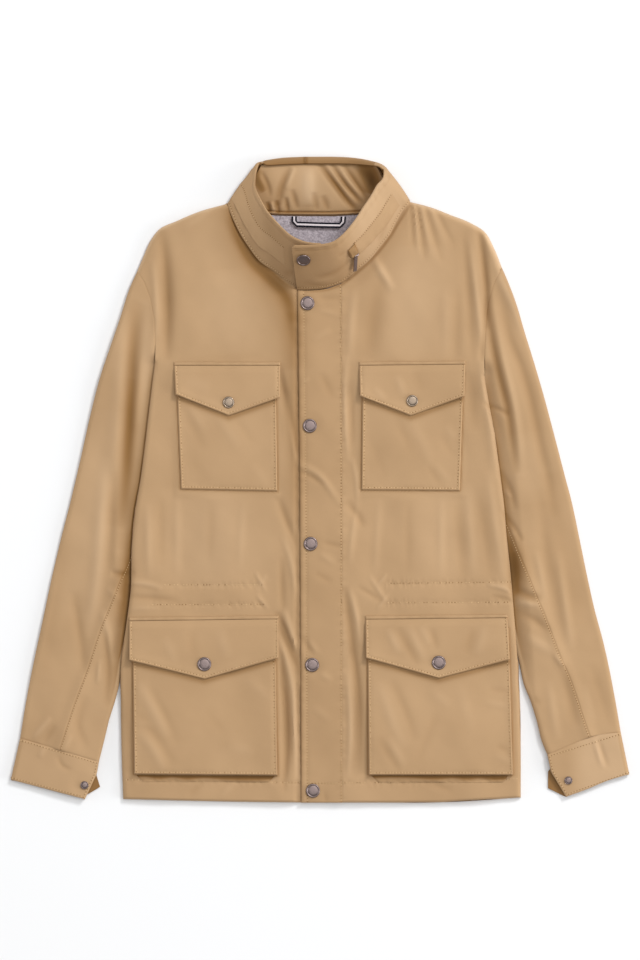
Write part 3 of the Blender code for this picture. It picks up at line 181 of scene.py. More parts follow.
# Folds of the fronts and sleeves: width, rise, lean (the other side turns the other way), points along each
FOLDS = (
    # left front
    (7, -3.0, 0.3, ((-204, 322), (-198, 268), (-196, 217), (-198, 150))),
    (5, 1.4, 0, ((-215, 285), (-210, 230), (-209, 180))),
    (4, 0.7, 0, ((-138, 360), (-150, 342), (-175, 320))),
    (3, 0.5, 0, ((-128, 360), (-140, 346), (-160, 324))),
    (10, -2.6, 0, ((-120, 350), (-96, 294), (-74, 268), (-47, 240), (-20, 195))),
    (8, -1.4, 0, ((-60, 245), (-44, 215), (-30, 165))),
    (5, -2.0, -0.3, ((-54, 150), (-41, 89), (-27, 30))),
    (4, 1.5, 0, ((-46, 112), (-37, 64), (-27, 10))),
    (5, -1.6, -0.3, ((-54, -20), (-38, -64), (-26, -90))),
    (4, 1.2, 0, ((-48, -72), (-38, -103), (-28, -162))),
    (4, -1.2, 0, ((-50, -98), (-48, -172))),
    (5, -3.0, -0.3, ((-56, -168), (-42, -205), (-24, -250))),
    (4, 1.6, 0, ((-47, -164), (-36, -199), (-26, -226))),
    (4, 2.0, 0, ((-52, -200), (-37, -256), (-31, -333), (-27, -412))),
    (4.5, -3.0, 0, ((-53, -218), (-45, -282), (-43, -333), (-47, -402))),
    (5, 0.7, 0, ((-183, -18), (-183, -128))),
    (6, -0.7, 0, ((-205, -22), (-204, -112))),
    (5, 0.9, 0, ((-221, -30), (-219, -128))),
    (6, -0.5, 0, ((-140, -24), (-142, -110))),
    (5, 0.5, 0, ((-98, -26), (-104, -118))),
    (3, 1.2, 0, ((-252, -131), (-225, -133), (-200, -139))),
    (3.5, -1.2, 0, ((-252, -150), (-215, -152), (-180, -155))),
    (3, 0.7, 0, ((-248, -165), (-205, -164))),
    (2.2, 0.9, 0, ((-83, -118), (-69, -144))),
    (2.2, 0.8, 0, ((-68, -122), (-82, -143))),
    (2.2, 0.8, 0, ((-82, -146), (-66, -166))),
    (4, -0.8, 0, ((-170, -406), (-147, -384))),
    (4, 0.7, 0, ((-128, -408), (-110, -386))),
    (5, -0.8, 0, ((-247, -214), (-246, -395))),
    # right front
    (2.6, -1.0, 0, ((114, 376), (117.5, 338), (119, 296))),
    (2.4, 0.9, 0, ((118, 376), (122.5, 334), (126, 288))),
    (2.6, -1.3, 0, ((120, 378), (127, 332), (134, 280))),
    (2.4, 0.9, 0, ((123, 378), (133, 331), (144, 282))),
    (2.6, -1.0, 0, ((127, 378), (140, 330), (156, 278))),
    (2.4, 0.6, 0, ((131, 374), (147, 332), (164, 290))),
    (2.6, -0.8, 0, ((136, 374), (154, 334), (172, 298))),
    (5, 1.7, -0.3, ((68, 286), (80, 265), (94, 242))),
    (12, -1.6, 0, ((76, 262), (70, 220), (60, 150))),
    (6, 1.2, 0, ((44, 246), (40, 205), (37, 148))),
    (6, -0.7, 0, ((176, 250), (174, 150))),
    (6, 0.6, 0, ((160, 250), (161, 150))),
    (4.5, -3.2, 0.2, ((202, 330), (209, 280), (213, 232), (212, 190))),
    (6, 1.4, 0, ((208, 330), (218, 298), (228, 268))),
    (5, 1.6, 0, ((190, 312), (199, 240), (209, 160))),
    (6, -1.3, 0, ((184, 322), (191, 240), (194, 150))),
    (4, -1.2, 0, ((211, 200), (206, 150))),
    (6, 1.1, 0, ((203, 166), (210, 115), (218, 64), (224, -4))),
    (8, -0.9, 0, ((191, 140), (198, 60))),
    (3.5, 1.3, 0, ((34, 160), (32, 102), (36, 20))),
    (4, -1.0, 0, ((40, 128), (41, 40))),
    (3.5, 1.0, 0, ((40, 30), (46, 6), (48, -30))),
    (5, -1.3, 0, ((32, -26), (50, -50), (56, -62))),
    (4, 0.9, 0, ((48, -28), (42, -66), (38, -110))),
    (5, -2.6, 0.2, ((30, -134), (40, -205), (48, -269), (49, -372))),
    (4, 1.6, 0, ((37, -138), (47, -178), (52, -214))),
    (4, 1.6, 0, ((35, -244), (39, -320), (36, -384))),
    (3, -0.9, 0, ((46, -136), (80, -156))),
    (2.4, 0.9, 0, ((62, -122), (86, -158))),
    (2.2, 0.8, 0, ((86, -120), (72, -138))),
    (2.2, 0.8, 0, ((88, -146), (72, -168))),
    (5, 0.8, 0, ((155, -20), (155, -128))),
    (7, -0.9, 0, ((174, -20), (183, -134))),
    (6, 0.9, 0, ((187, -4), (197, -128))),
    (7, -0.9, 0, ((201, -10), (210, -66), (219, -136))),
    (6, 1.0, 0, ((214, 12), (226, -70), (236, -140))),
    (5, 0.6, 0, ((76, -22), (70, -124))),
    (6, -0.5, 0, ((112, -22), (112, -124))),
    (3, 1.4, 0, ((212, -133), (232, -138), (252, -146))),
    (3, -1.1, 0, ((218, -149), (252, -156))),
    (4, -0.8, 0, ((130, -386), (170, -398))),
    # placket
    (3, -0.7, 0, ((-6, 231), (27, 233))),
    (3, 0.7, 0, ((-2, 217), (25, 211))),
    (5, -0.7, 0, ((0, 138), (16, 104))),
    (4, 0.6, 0, ((-10, 178), (14, 192))),
    (2.6, 0.8, 0, ((-26, 120), (-14, 130))),
    (4, 1.4, 0, ((-30, 20), (-10, 12), (26, -30))),
    (3, -1.0, 0, ((-28, 10), (-12, 4), (6, -8))),
    (3, -0.8, 0, ((0, -80), (29, -86))),
    (4, 0.7, 0, ((-2, -94), (20, -108))),
    (4, -0.6, 0, ((-8, -120), (16, -132))),
    (4, -1.1, 0, ((-25, -198), (-13, -218), (0, -248))),
    (4, 0.9, 0, ((-16, -204), (-2, -226))),
    (4, 0.8, 0, ((-6, -244), (16, -258))),
    (3, -0.8, 0, ((0, -392), (8, -412))),
    (5, 0.5, 0, ((-10, -290), (14, -310))),
    # left sleeve
    (9, -4.0, 0.2, ((-229, 226), (-236, 196), (-240, 166), (-242, 128), (-246, 51), (-248, 0),
        (-256, -66))),
    (10, 1.6, 0, ((-250, 215), (-259, 76), (-268, -40))),
    (6, 1.0, 0, ((-213, 200), (-221, 102), (-232, 20))),
    (8, 1.9, 0, ((-275, 30), (-282, -64), (-288, -141), (-300, -205))),
    (6, -1.2, 0, ((-264, 12), (-269, -77), (-271, -124))),
    (4, -2.2, 0, ((-268, -120), (-254, -121), (-236, -119))),
    (5, 0.8, 0, ((-274, -138), (-252, -156))),
    (5, 1.2, 0, ((-280, -164), (-269, -205), (-264, -240))),
    (5, -2.0, 0, ((-277, -192), (-271, -244), (-275, -292))),
    (3, 1.1, 0, ((-282, -230), (-285, -262))),
    (6, -1.2, 0, ((-316, -142), (-305, -218), (-301, -252))),
    (4, 1.2, 0, ((-345, -304), (-368, -332))),
    (4, -0.9, 0, ((-338, -314), (-356, -338))),
    (3, 0.8, 0, ((-318, -326), (-328, -348))),
    (6, -0.9, 0, ((-300, -276), (-310, -314), (-298, -346))),
    (9, -0.7, 0, ((-330, -60), (-345, -180), (-356, -250))),
    (3, 0.8, 0, ((-352, -342), (-360, -356))),
    (3, -0.8, 0, ((-336, -352), (-330, -366), (-318, -372))),
    # right sleeve
    (6, 1.9, 0.2, ((222, 282), (237, 243), (246, 224), (260, 180))),
    (3, -1.2, 0, ((232, 272), (243, 252))),
    (7, -2.0, 0, ((223, 256), (234, 217), (243, 179), (256, 147), (266, 115), (275, 76), (283, 38),
        (292, 0), (299, -50))),
    (6, 1.6, 0, ((219, 232), (230, 166), (243, 115), (252, 64), (257, 0))),
    (6, -3.4, -0.2, ((213, 236), (219, 192), (225, 159), (233, 121), (241, 89), (246, 51), (252, 6))),
    (3.5, -2.0, 0, ((208, 98), (228, 90), (242, 82))),
    (4, 0.9, 0, ((219, 82), (229, 44))),
    (4, -2.2, 0, ((230, 14), (243, -13), (250, -40))),
    (2.5, 1.3, 0, ((234, -12), (246, -24))),
    (3.5, -2.2, 0, ((232, -38), (250, -64), (258, -80))),
    (7, -4.0, 0, ((246, -92), (249, -130), (250, -150))),
    (5, -1.8, 0, ((246, -136), (262, -146), (284, -153))),
    (5, 1.8, 0, ((246, -156), (262, -158), (282, -162))),
    (6, -1.5, 0, ((244, -166), (269, -177), (298, -198))),
    (7, 1.1, 0, ((262, -200), (300, -222))),
    (4, -0.9, 0, ((258, -272), (282, -288))),
    (8, -1.1, 0, ((280, -10), (291, -103), (301, -154), (309, -215))),
    (5, 0.9, 0, ((276, -90), (290, -160))),
    (6, 1.2, 0, ((304, -90), (322, -220))),
    (3, 1.1, 0, ((298, -222), (313, -240))),
    (7, -0.6, 0, ((346, -236), (361, -282), (371, -320))),
    (6, 0.6, 0, ((336, -262), (350, -316))),
    (8, -1.2, 0, ((312, -236), (328, -318))),
    (6, 0.9, 0, ((292, -258), (304, -336))),
    (3, 1.0, 0, ((350, -330), (362, -370))),
    (3, -0.8, 0, ((356, -332), (368, -368))),
)
FOLD_GAIN = 1.25
FOLD_SHADE = 0.075
# Painted shade on the fronts and sleeves, among it the cloth in the shade of the collar, and painted
# highlight where the darkness is below 0: width, darkness, lean, points along each
SHADES = (
    (20, 0.22, 0, ((-124, 356), (-114, 327), (-102, 303), (-86, 274), (-64, 252), (-46, 226), (-38, 190),
        (-35, 140))),
    (6, 0.20, 0, ((-122, 356), (-115, 330), (-103, 304), (-87, 277), (-65, 256), (-44, 236), (-34, 200))),
    (2.4, 0.25, 0, ((-119, 352), (-112, 332), (-100, 308), (-80, 280), (-61, 265), (-39, 247),
        (-28, 243))),
    (2, 0.26, 0, ((117, 354), (110, 342), (99, 326), (78, 295), (64, 280), (45, 263), (28, 250), (9, 243),
        (-28, 241))),
    (8, 0.07, 0, ((112, 346), (99, 320), (80, 290), (60, 264), (34, 244))),
    (12, 0.17, 0, ((-38, 215), (-36, 150), (-34, 80), (-33, 20), (-32, -60))),
    (38, -0.07, 0, ((-118, 270), (-112, 160))),
    (42, -0.10, 0, ((122, 300), (118, 150))),
    (60, -0.09, 0, ((-140, -10), (-140, -140))),
    (40, -0.05, 0, ((150, -10), (150, -130))),
    (18, 0.10, 0, ((-240, 130), (-252, 40), (-262, -60))),
    (8, 0.15, 0, ((-239, 232), (-243, 128), (-247, 40), (-250, -20), (-257, -90))),
    (7, -0.10, 0, ((-222, 232), (-226, 150), (-232, 70))),
    (9, 0.10, 0, ((-240, -100), (-250, -150), (-262, -230))),
    (24, -0.07, 0, ((-268, 90), (-290, -40), (-318, -180))),
    (14, 0.08, 0, ((292, 10), (306, -70), (330, -190))),
    (26, -0.05, 0, ((262, 60), (276, -30))),
    (5, 0.12, 0, ((-31, 236), (-31, 150), (-29, 20), (-28, -120), (-27, -300), (-26, -412))),
)
# Painted shade in the gap between body and sleeve: y, its width, its darkness
CREVICES = {
    "left": ((150, 2.0, 0.35), (60, 2.0, 0.55), (0, 2.2, 0.7), (-60, 3.0, 0.8), (-140, 4.5, 0.85),
             (-215, 3.6, 0.9), (-280, 4.0, 0.9)),
    "right": ((138, 2.0, 0.35), (60, 2.0, 0.5), (0, 2.2, 0.6), (-60, 2.6, 0.65), (-100, 3.0, 0.6),
              (-170, 2.6, 0.6), (-240, 2.4, 0.8)),
}
# Painted shade in the depths of the deepest folds: width, darkness, lean, points along each
HOLLOWS = (
    (14, 0.34, 0, ((244, -70), (252, -110), (256, -146))),
    (5, 0.16, 0, ((246, -142), (262, -148), (280, -154))),
    (6, 0.12, 0, ((213, 236), (225, 159), (241, 89), (252, 6))),
    (10, 0.2, 0, ((-240, -60), (-250, -130), (-258, -190))),
)
# Seams and stitched lines: points, depth, width, height of the puckers beside it, their reach, their length
SEAMS = (
    (((27.5, 252), (28.7, -414)), 0.2, 1.0, 0.3, 5.0, 17.0),
    (((-200, -134.5), (-74.5, -134.5)), 0.7, 1.6, 0.45, 4.0, 7.0),
    (((-216, -160.0), (-72.5, -159.5)), 0.7, 1.6, 0.45, 4.0, 7.0),
    (((83, -132.7), (244, -131)), 0.7, 1.6, 0.45, 4.0, 7.0),
    (((85.5, -157.5), (244, -156.7)), 0.7, 1.6, 0.45, 4.0, 7.0),
    (((-250, -384), (-150, -386.5), (-20, -388)), 0.5, 1.5, 0.3, 4.0, 12.0),
    (((20, -388), (155, -387.5), (254, -382.5)), 0.5, 1.5, 0.3, 4.0, 12.0),
)
# The drawcord's channel swells between its stitched lines: x from, x to, y
CHANNELS = ((-212, -74, -147.3), (84, 246, -144.6))

# Threads on the placket, and how far in from the edges the others run
PLACKET_THREADS = (((-21.0, 241), (-18.2, 0), (-16.2, -412)), ((26.2, 250), (27.0, 0), (27.2, -412)),
                   ((-14, -388.5), (26, -388.5)))
FOREARM_THREAD_IN = 1.6
CUFF_THREAD_IN = 2.6
POCKET_THREAD_IN = 3.0
COLLAR_THREAD_FROM = 4.4        # collar section where the thread up the collar's foot starts
COLLAR_THREAD_END = {"left": 12.6, "right": 15.8}
COLLAR_THREAD_UP = 4.0
WELT_THREAD_UP = 1.2            # over the zip welt's upper edge
# Stitches: pitch, length, width, height, lift off the cloth
STITCH = (3.9, 2.5, 1.0, 0.5, 0.1)
STITCH_SUNK = 0.2       # how far its ends go into the cloth
FINE_STITCH = (3.4, 2.5, 0.6, 0.25, 0.05)
COLLAR_STITCH = (3.2, 2.2, 0.9, 0.5, 0.05)
HOLE_SIZE = 1.5         # of the pit between two stitches
HOLE_LIFT = 0.06
HOLE_DEPTH = 0.5

# Pockets: corners top left, top right, bottom right, bottom left; and how far the cloth stands up
POCKETS = {
    "chest_left": (((-184, 137), (-56.5, 137), (-54.5, -14.5), (-178, -12)), 2.6),
    "chest_right": (((54.5, 137), (184, 137), (179, -14), (53, -13)), 2.6),
    "lower_left": (((-240.5, -190), (-57, -190), (-54.5, -378.5), (-238, -377)), 7.6),
    "lower_right": (((60.5, -190), (241.5, -190), (247, -378), (62, -378)), 7.6),
}
POCKET_FOLDS = {
    "chest_left": ((6, -0.9, 0, ((-178, 96), (-160, 60), (-148, 38))), (5, 0.8, 0, ((-168, 96), (-146, 60))),
                   (6, 0.8, 0, ((-134, 86), (-104, 40))), (6, -0.7, 0, ((-112, 84), (-86, 46))),
                   (7, -0.5, 0, ((-170, 30), (-140, -6))), (6, 0.5, 0, ((-90, 20), (-66, -8)))),
    "chest_right": ((7, 0.9, 0, ((110, 84), (134, 40), (144, 10))), (6, -0.9, 0, ((96, 80), (118, 34))),
                    (5, 0.8, 0, ((160, 70), (174, 50))), (5, -0.7, 0, ((152, 60), (172, 28))),
                    (4, -0.8, 0, ((136, 20), (156, -12))), (4, 0.7, 0, ((146, 22), (166, -4))),
                    (6, -0.5, 0, ((60, 60), (84, 0)))),
    "lower_left": ((8, 2.0, 0.2, ((-234, -258), (-216, -292), (-194, -332))),
                   (6, -1.3, 0, ((-222, -262), (-200, -300), (-182, -340))),
                   (6, 1.6, 0, ((-232, -322), (-212, -348), (-200, -374))),
                   (6, -1.4, 0, ((-236, -300), (-212, -326), (-186, -368))),
                   (8, 0.9, 0, ((-120, -340), (-84, -350))), (7, -0.7, 0, ((-150, -290), (-120, -330))),
                   (4, 0.8, 0, ((-238, -308), (-214, -316))), (6, 0.7, 0, ((-96, -254), (-62, -282)))),
    "lower_right": ((7, 1.6, 0.2, ((74, -258), (96, -320), (108, -346))),
                    (6, -1.5, 0, ((90, -254), (110, -300), (122, -336))),
                    (5, -1.3, 0, ((74, -330), (96, -366), (104, -378))),
                    (5, 1.3, 0, ((86, -328), (108, -368))), (6, 0.9, 0, ((140, -268), (166, -290))),
                    (6, -0.9, 0, ((150, -296), (122, -364))), (7, 0.7, 0, ((176, -258), (196, -330))),
                    (4, -1.0, 0, ((214, -268), (246, -272))), (4, 0.9, 0, ((210, -284), (246, -292))),
                    (4, -1.0, 0, ((224, -340), (246, -350))), (4, 0.8, 0, ((222, -352), (246, -362)))),
}
FLAPS = {
    "chest_left": ((-187, 146), (-51, 146), (-51, 105.5), (-117, 82), (-185, 109)),
    "chest_right": ((50, 146), (186, 147.5), (185, 107), (116, 82), (51, 107)),
    "lower_left": ((-244.5, -181), (-53, -178.5), (-53, -228), (-148, -255), (-244.5, -231)),
    "lower_right": ((58, -179), (240, -177), (243, -230), (152, -254), (58.5, -228)),
}
FLAP_FOLDS = {
    "chest_left": ((9, 0.5, 0, ((-176, 126), (-140, 118))),),
    "chest_right": ((5, 0.9, 0, ((98, 134), (108, 106))), (4, 0.7, 0, ((68, 118), (84, 102))),
                    (7, -0.5, 0, ((120, 138), (132, 112)))),
    "lower_left": ((7, -0.7, 0, ((-166, -192), (-160, -232))), (7, 0.7, 0, ((-130, -190), (-118, -230))),
                   (6, 0.6, 0, ((-200, -200), (-184, -236)))),
    "lower_right": ((5, -1.3, 0, ((98, -188), (112, -214), (126, -240))),
                    (5, 1.2, 0, ((86, -190), (102, -224))), (5, 1.0, 0, ((112, -186), (134, -232))),
                    (4, -1.0, 0, ((142, -190), (150, -218))),
                    (5, 0.9, 0, ((128, -186), (140, -212))), (6, -0.9, 0, ((196, -190), (186, -224))),
                    (6, 0.8, 0, ((212, -186), (200, -226)))),
}
FLAP_CORNER_LIFT = (1.8, 20)    # height and reach of the lift at a flap's lower corners
FLAP_EDGE_LIFT = (1.4, 9)
WELT_HEIGHT = 4.6
WELT_RISE = 2.2
# Puckers beside the stitches round a pocket and a flap: groove's width, height, reach, length
POCKET_PUCKERS = (1.1, 0.35, 4.5, 12.0)
FLAP_PUCKERS = (1.0, 0.22, 4.0, 10.0)
GUSSETS = {
    "lower_left": ((-235, -378.2), (-58, -379.4), (-66, -387.5), (-226, -386.5)),
    "lower_right": ((66, -378.8), (241, -378.6), (234, -387.5), (76, -388)),
}
SNAPS = {
    "snap_placket_1": (-16, 226, "placket"), "snap_placket_2": (-13, 69, "placket"),
    "snap_placket_3": (-12, -82, "placket"), "snap_placket_4": (-10, -237, "placket"),
    "snap_placket_5": (-9, -398, "placket"),
    "snap_chest_left": (-117, 99, "chest"), "snap_chest_right": (118, 101, "chest"),
    "snap_lower_left": (-148, -236, "lower"), "snap_lower_right": (152, -234, "lower"),
    "snap_cuff_left": (-301.5, -391, "cuff"), "snap_cuff_right": (318, -385, "cuff"),
}
SNAP_FLAT = 12.0        # of the cloth round a snap

# Collar sections from the centre back to the front: seam x, y; share of the front's height that the seam
# lies at; top edge x, y, z; turn of the rolled edge in degrees; how far it lies under the other end
COLLAR = {
    "left": (
        (-19, 338, 0, -19, 408, 0, 180, 0), (-58, 339, 0, -46, 407, 0, 180, 0),
        (-92, 344.5, 0, -66, 405, 0, 170, 0), (-112.5, 350.5, 0.12, -77, 404, 2, 110, 0),
        (-119, 354, 0.55, -83, 403.5, 7.5, 70, 0), (-117.3, 347.5, 0.93, -83.5, 397, 13.5, 45, 0),
        (-111, 332, 1, -84.5, 385, 19, 30, 0), (-99, 309, 1, -84, 370, 25, 25, 0),
        (-79, 281, 1, -75, 351, 34, 25, 0), (-60, 267, 1, -64, 334.5, 41, 25, 0),
        (-38, 248.5, 1, -43, 311, 51, 25, 1.4), (-24, 243.5, 1, -27, 300, 55, 25, 3.9),
        (-10, 243, 1, -13, 296, 57, 25, 4.4), (4, 242.5, 1, 1, 295, 57, 25, 4.4),
    ),
    "right": (
        (-18.96, 338, 0, -18.96, 408, 0, 180, 0), (20, 338, 0, 18, 408, 0, 180, 0),
        (62, 341, 0, 46, 407, 3, 170, 0), (95, 347.5, 0.05, 67, 405, 14, 140, 0),
        (111.5, 353, 0.25, 80, 402, 27, 90, 0), (116, 356, 0.6, 86.5, 396, 36, 60, 0),
        (113.5, 351.5, 0.95, 85.5, 389, 40, 40, 0), (106, 343, 1, 82, 381, 42.5, 25, 0),
        (98, 329, 1, 75, 373, 45, 25, 0), (90, 313, 1, 67, 359, 47, 25, 0),
        (77, 297, 1, 57, 344.5, 50, 25, 0), (64, 281, 1, 47, 329, 52, 25, 0),
        (45, 265, 1, 32, 311, 54.5, 25, 0), (28, 252, 1, 17, 300, 57, 25, 0),
        (9, 245, 1, -1, 296.5, 58.5, 25, 0), (-13, 242.5, 1, -22, 295.5, 59, 25, 0),
        (-29, 242.5, 1, -36.5, 295.5, 59, 25, 0),
    ),
}
COLLAR_SINK = 0.5       # of its seam into the front
COLLAR_BOW = 2.0        # how far the standing collar bows out half way up
ROLL_RADIUS = 5.5
ROLL_LIP = 3.0
TAB_CORNER = 7.0        # radius of the snap tab's upper corner
CENTRE_SEAM = (0.35, 0.8)       # darkness and width of the seam at the centre back
# Rows up the collar by its seam and by its rolled edge
COLLAR_FOOT_ROWS = (0.0, 0.6, 1.6, 2.8, 4.0, 5.2, 7.0)
COLLAR_EDGE_ROWS = (6.0, 5.0, 4.0, 2.5, 1.2, 0.0)
INNER_REACH = {"left": 2.8, "right": 3.5}
INNER_PAD = (6.4, 3.0)          # its thickness half way up and at its edges
# Folds of the padded inner collar: width, rise, lean, points along each
INNER_FOLDS = (
    (5.0, -3.4, 0.5, ((-4, 407), (19, 377), (38, 352), (49, 341))),
    (3.6, 1.4, 0, ((6, 405), (26, 378), (46, 353))),
    (4.4, -2.8, 0.4, ((13, 405), (32, 377), (54, 352))),
    (3.6, 1.2, 0, ((20, 405), (37, 381), (57, 357))),
    (3.8, -1.8, 0.3, ((27, 406), (41, 386), (61, 358))),
    (9, -2.8, 0, ((50, 405), (60, 390), (74, 370))),
    (8, 1.8, 0, ((-14, 402), (-13, 350))),
    (5, -2.0, 0, ((-38, 400), (-50, 372), (-54, 350))),
    (3.5, 1.4, 0, ((-33, 400), (-44, 372))),
    (3.5, -1.6, 0, ((-36, 372), (-29, 346))),
    (2.8, -2.0, 0, ((-68, 356), (-64, 340))),
    (2.4, 1.2, 0, ((-62, 356), (-59, 341))),
    (2.8, -2.2, 0, ((-56, 358), (-53, 340))),
    (2.6, -2.0, 0, ((-44, 362), (-41, 341))),
    (3.5, -1.3, 0, ((-8, 368), (-4, 344))),
    (4, -1.4, 0, ((4, 364), (10, 344))),
    (3, -1.2, 0, ((-76, 396), (-66, 374), (-64, 362))),
)
# Painted shade inside the collar, and painted highlight where the darkness is below 0: width, darkness, lean,
# points along each
INNER_SHADES = (
    (9, 0.42, 0, ((66, 404), (70, 384), (66, 366))),
    (22, 0.26, 0, ((54, 412), (60, 380), (66, 350))),
    (18, 0.24, 0, ((-84, 404), (-76, 370), (-64, 345))),
    (7, 0.16, 0, ((-72, 340), (-20, 337), (40, 337), (62, 340))),
    (9, -0.08, 0, ((-24, 406), (-16, 352))),
    (5, 0.5, 0, ((-80, 402), (-82, 388), (-72, 368))),
    (16, 0.12, 0, ((-80, 345), (-30, 338), (30, 338), (70, 350))),
    (2.5, 0.3, 0, ((-78, 402), (0, 405), (70, 402))),
)
# Zip welts on the collar: first and last section, heights of the lower edge and of the upper edge at each
ZIP_WELTS = {
    "left": (4.5, 9.75, (9.0, 26.0), (30.0, 52.0)),
    "right": (7.0, 11.62, (11.0, 25.0), (33.0, 44.5)),
}
WELT_CLOTH = {"left": 0.9, "right": 1.5}
GARAGE = (11.58, 12.14, 33.0, 44.5)     # the fold over the slider: first and last section, low and high
GARAGE_LIFT = (5.6, 1.2)                # how far it stands up at its lower and its upper edge
COLLAR_SNAP_AT = (15.08, 53.5)
# Creases of the outer collar: side, width, rise, points as collar section and height up it
COLLAR_CREASES = (
    ("right", 4, -0.9, ((14.6, 22), (13.2, 24), (11.8, 30))),
    ("right", 4, 0.8, ((14.8, 14), (13.4, 12))),
    ("right", 3, 0.8, ((12.6, 44), (11.8, 40), (11.7, 30))),
    ("right", 3, -0.9, ((12.9, 47), (12.2, 44))),
    ("right", 4, 0.7, ((11.0, 14), (9.6, 24))),
    ("right", 4, -0.7, ((10.2, 8), (8.8, 18))),
    ("left", 4, 0.8, ((10.6, 20), (10.9, 34))),
    ("left", 4, -0.9, ((9.6, 6), (10.4, 26))),
    ("left", 3, 0.7, ((4.2, 26), (4.9, 44))),
    ("left", 3, -0.7, ((3.8, 30), (4.4, 50))),
    ("left", 4, 0.5, ((7.0, 10), (8.2, 22))),
    ("right", 3, -0.6, ((15.6, 12), (14.0, 8))),
)

LINING_OUTLINE = ((-90, 343.2), (-58, 338.3), (-19, 337.4), (20, 337.4), (62, 340.2), (86, 344.4), (94, 300),
                  (68, 262), (20, 238), (-30, 238), (-76, 262), (-99, 300))
LINING_TOP = BACK_TOP + 0.35 + 1.2
LOOP_PATH = ((-33, 337.0), (-33, 331), (-29.5, 327), (-1, 326), (25.5, 325.5), (29.5, 330), (30, 336.8))
LOOP_WIDTH = 6.8
LOOP_CLOTH = 1.0
LOOP_LIFT = 2.6
LOOP_STEP = 14.0        # ribbon length from one point of its path to the next
WHITE_COLUMN = 2        # the ribbon's middle column is white

# Colours, linear
TAN = (0.428, 0.273, 0.148)
TAN_DEEP = (0.392, 0.247, 0.131)
LIT = (0.60, 0.42, 0.265)           # cloth on a lit ridge
SHADED = (0.205, 0.100, 0.030)      # cloth in a fold's shade
CREVICE_SHADE_COLOUR = (0.075, 0.028, 0.003)      # painted shade, the darkest, for the dark between two pieces
THREAD = (0.60, 0.41, 0.21)
# Painted shade for the pits of the needle holes
NEEDLE_HOLE_SHADE = (0.19, 0.095, 0.03)
JERSEY_LIGHT = (0.53, 0.475, 0.51)
JERSEY_DARK = (0.27, 0.235, 0.26)
METAL = (0.24, 0.185, 0.175)
METAL_LIGHT = (0.34, 0.265, 0.20)
RIBBON_BLACK = (0.006, 0.006, 0.012)
RIBBON_WHITE = (0.72, 0.66, 0.68)
FLOOR_WHITE = (0.793, 0.797, 0.804)

# Stage: degrees off the zenith and round from +X, distance and size in metres, watts
LAMPS = {
    "softbox": (17, 50, 10.0, 9.75, 440), "key": (50, 50, 9.0, 2.1, 420),
    "side": (74, -14, 9.0, 5.4, 400), "fill": (74, 176, 9.0, 5.4, 190),
}
SKY = 0.405
FLOOR_GLOW = 0.02
FLOOR_HALF = 6.0        # metres
FLOOR_Z = -0.0005
PHOTO_HIGH = 960        # pixels
PHOTO_MIDDLE = 479.7    # the garment's middle in the photo, pixels from the top
PIXEL = 1.28            # millimetres that a pixel of the photo shows
CAMERA_LEVEL = 0.008    # metres above the floor at which that scale holds
SENSOR = 24.0
LENS = 300.0


# ------------------------------------------------------------------ curves and grids

def cubic(values, slopes, index, t, step=1.0):
    """Smooth values between rows index and index + 1, at shares t of the step."""
    return ((2 * t**3 - 3 * t**2 + 1) * values[index] + (t**3 - 2 * t**2 + t) * step * slopes[index]
            + (3 * t**2 - 2 * t**3) * values[index + 1] + (t**3 - t**2) * step * slopes[index + 1])


def along(points, shares):
    """Points of a smooth curve through the given ones, at shares of its length."""
    points = np.asarray(points, float)
    steps = np.linalg.norm(np.diff(points, axis=0), axis=1)
    knots = np.concatenate(([0.0], np.cumsum(steps)))
    slopes = np.gradient(points, knots, axis=0)
    places = np.asarray(shares, float) * knots[-1]
    index = np.clip(np.searchsorted(knots, places, side="right") - 1, 0, len(points) - 2)
    t = ((places - knots[index]) / steps[index])[:, None]
    return cubic(points, slopes, index, t, steps[index][:, None])


def rows_at(table, places):
    """Rows of a table read smoothly between its own, by row number."""
    table = np.asarray(table, float)
    places = np.asarray(places, float)
    index = np.clip(places.astype(int), 0, len(table) - 2)
    return cubic(table, np.gradient(table, axis=0), index, (places - index)[:, None])


def coons(bottom, top, start, end, across, up):
    """A grid of points inside four edges; rows run up, columns across."""
    u, v = across[None, :, None], up[:, None, None]
    edges = (1 - v) * bottom[None] + v * top[None] + (1 - u) * start[:, None] + u * end[:, None]
    corners = ((1 - u) * (1 - v) * bottom[0] + u * (1 - v) * bottom[-1]
               + (1 - u) * v * top[0] + u * v * top[-1])
    return edges - corners


def nearest(places, line):
    """Distance in plan to a line, the side that each place is on, and how far along it lies (mm)."""
    line = np.asarray(line, float)
    best = np.full(places.shape[:-1], np.inf)
    side = np.zeros(best.shape)
    reached = np.zeros(best.shape)
    travelled = 0.0
    for start, end in zip(line[:-1], line[1:]):
        run = end - start
        length = math.hypot(*run)
        share = np.clip(((places - start) @ run) / length**2, 0, 1)
        away = places - start - share[..., None] * run
        gap = np.linalg.norm(away, axis=-1)
        closer = gap < best
        best = np.where(closer, gap, best)
        side = np.where(closer, np.sign(run[0] * away[..., 1] - run[1] * away[..., 0]), side)
        reached = np.where(closer, travelled + share * length, reached)
        travelled += length
    return best, side, reached, travelled


def distance(places, line):
    return nearest(places, line)[0]


def bell(places, line, height, width):
    """A soft ridge of a height and width along a line."""
    return height * np.exp(-(distance(places, line) / width) ** 2)


def beaded(height, depth, table):
    """A height with ridges and grooves beside an edge: distance in from it, rise and width of each."""
    for middle, rise, width in table:
        height = height + rise * np.exp(-((depth - middle) / width) ** 2)
    return height


def joined(places, heights):
    """Points in space from places in plan and their heights."""
    return np.concatenate((places, heights[..., None]), axis=-1)


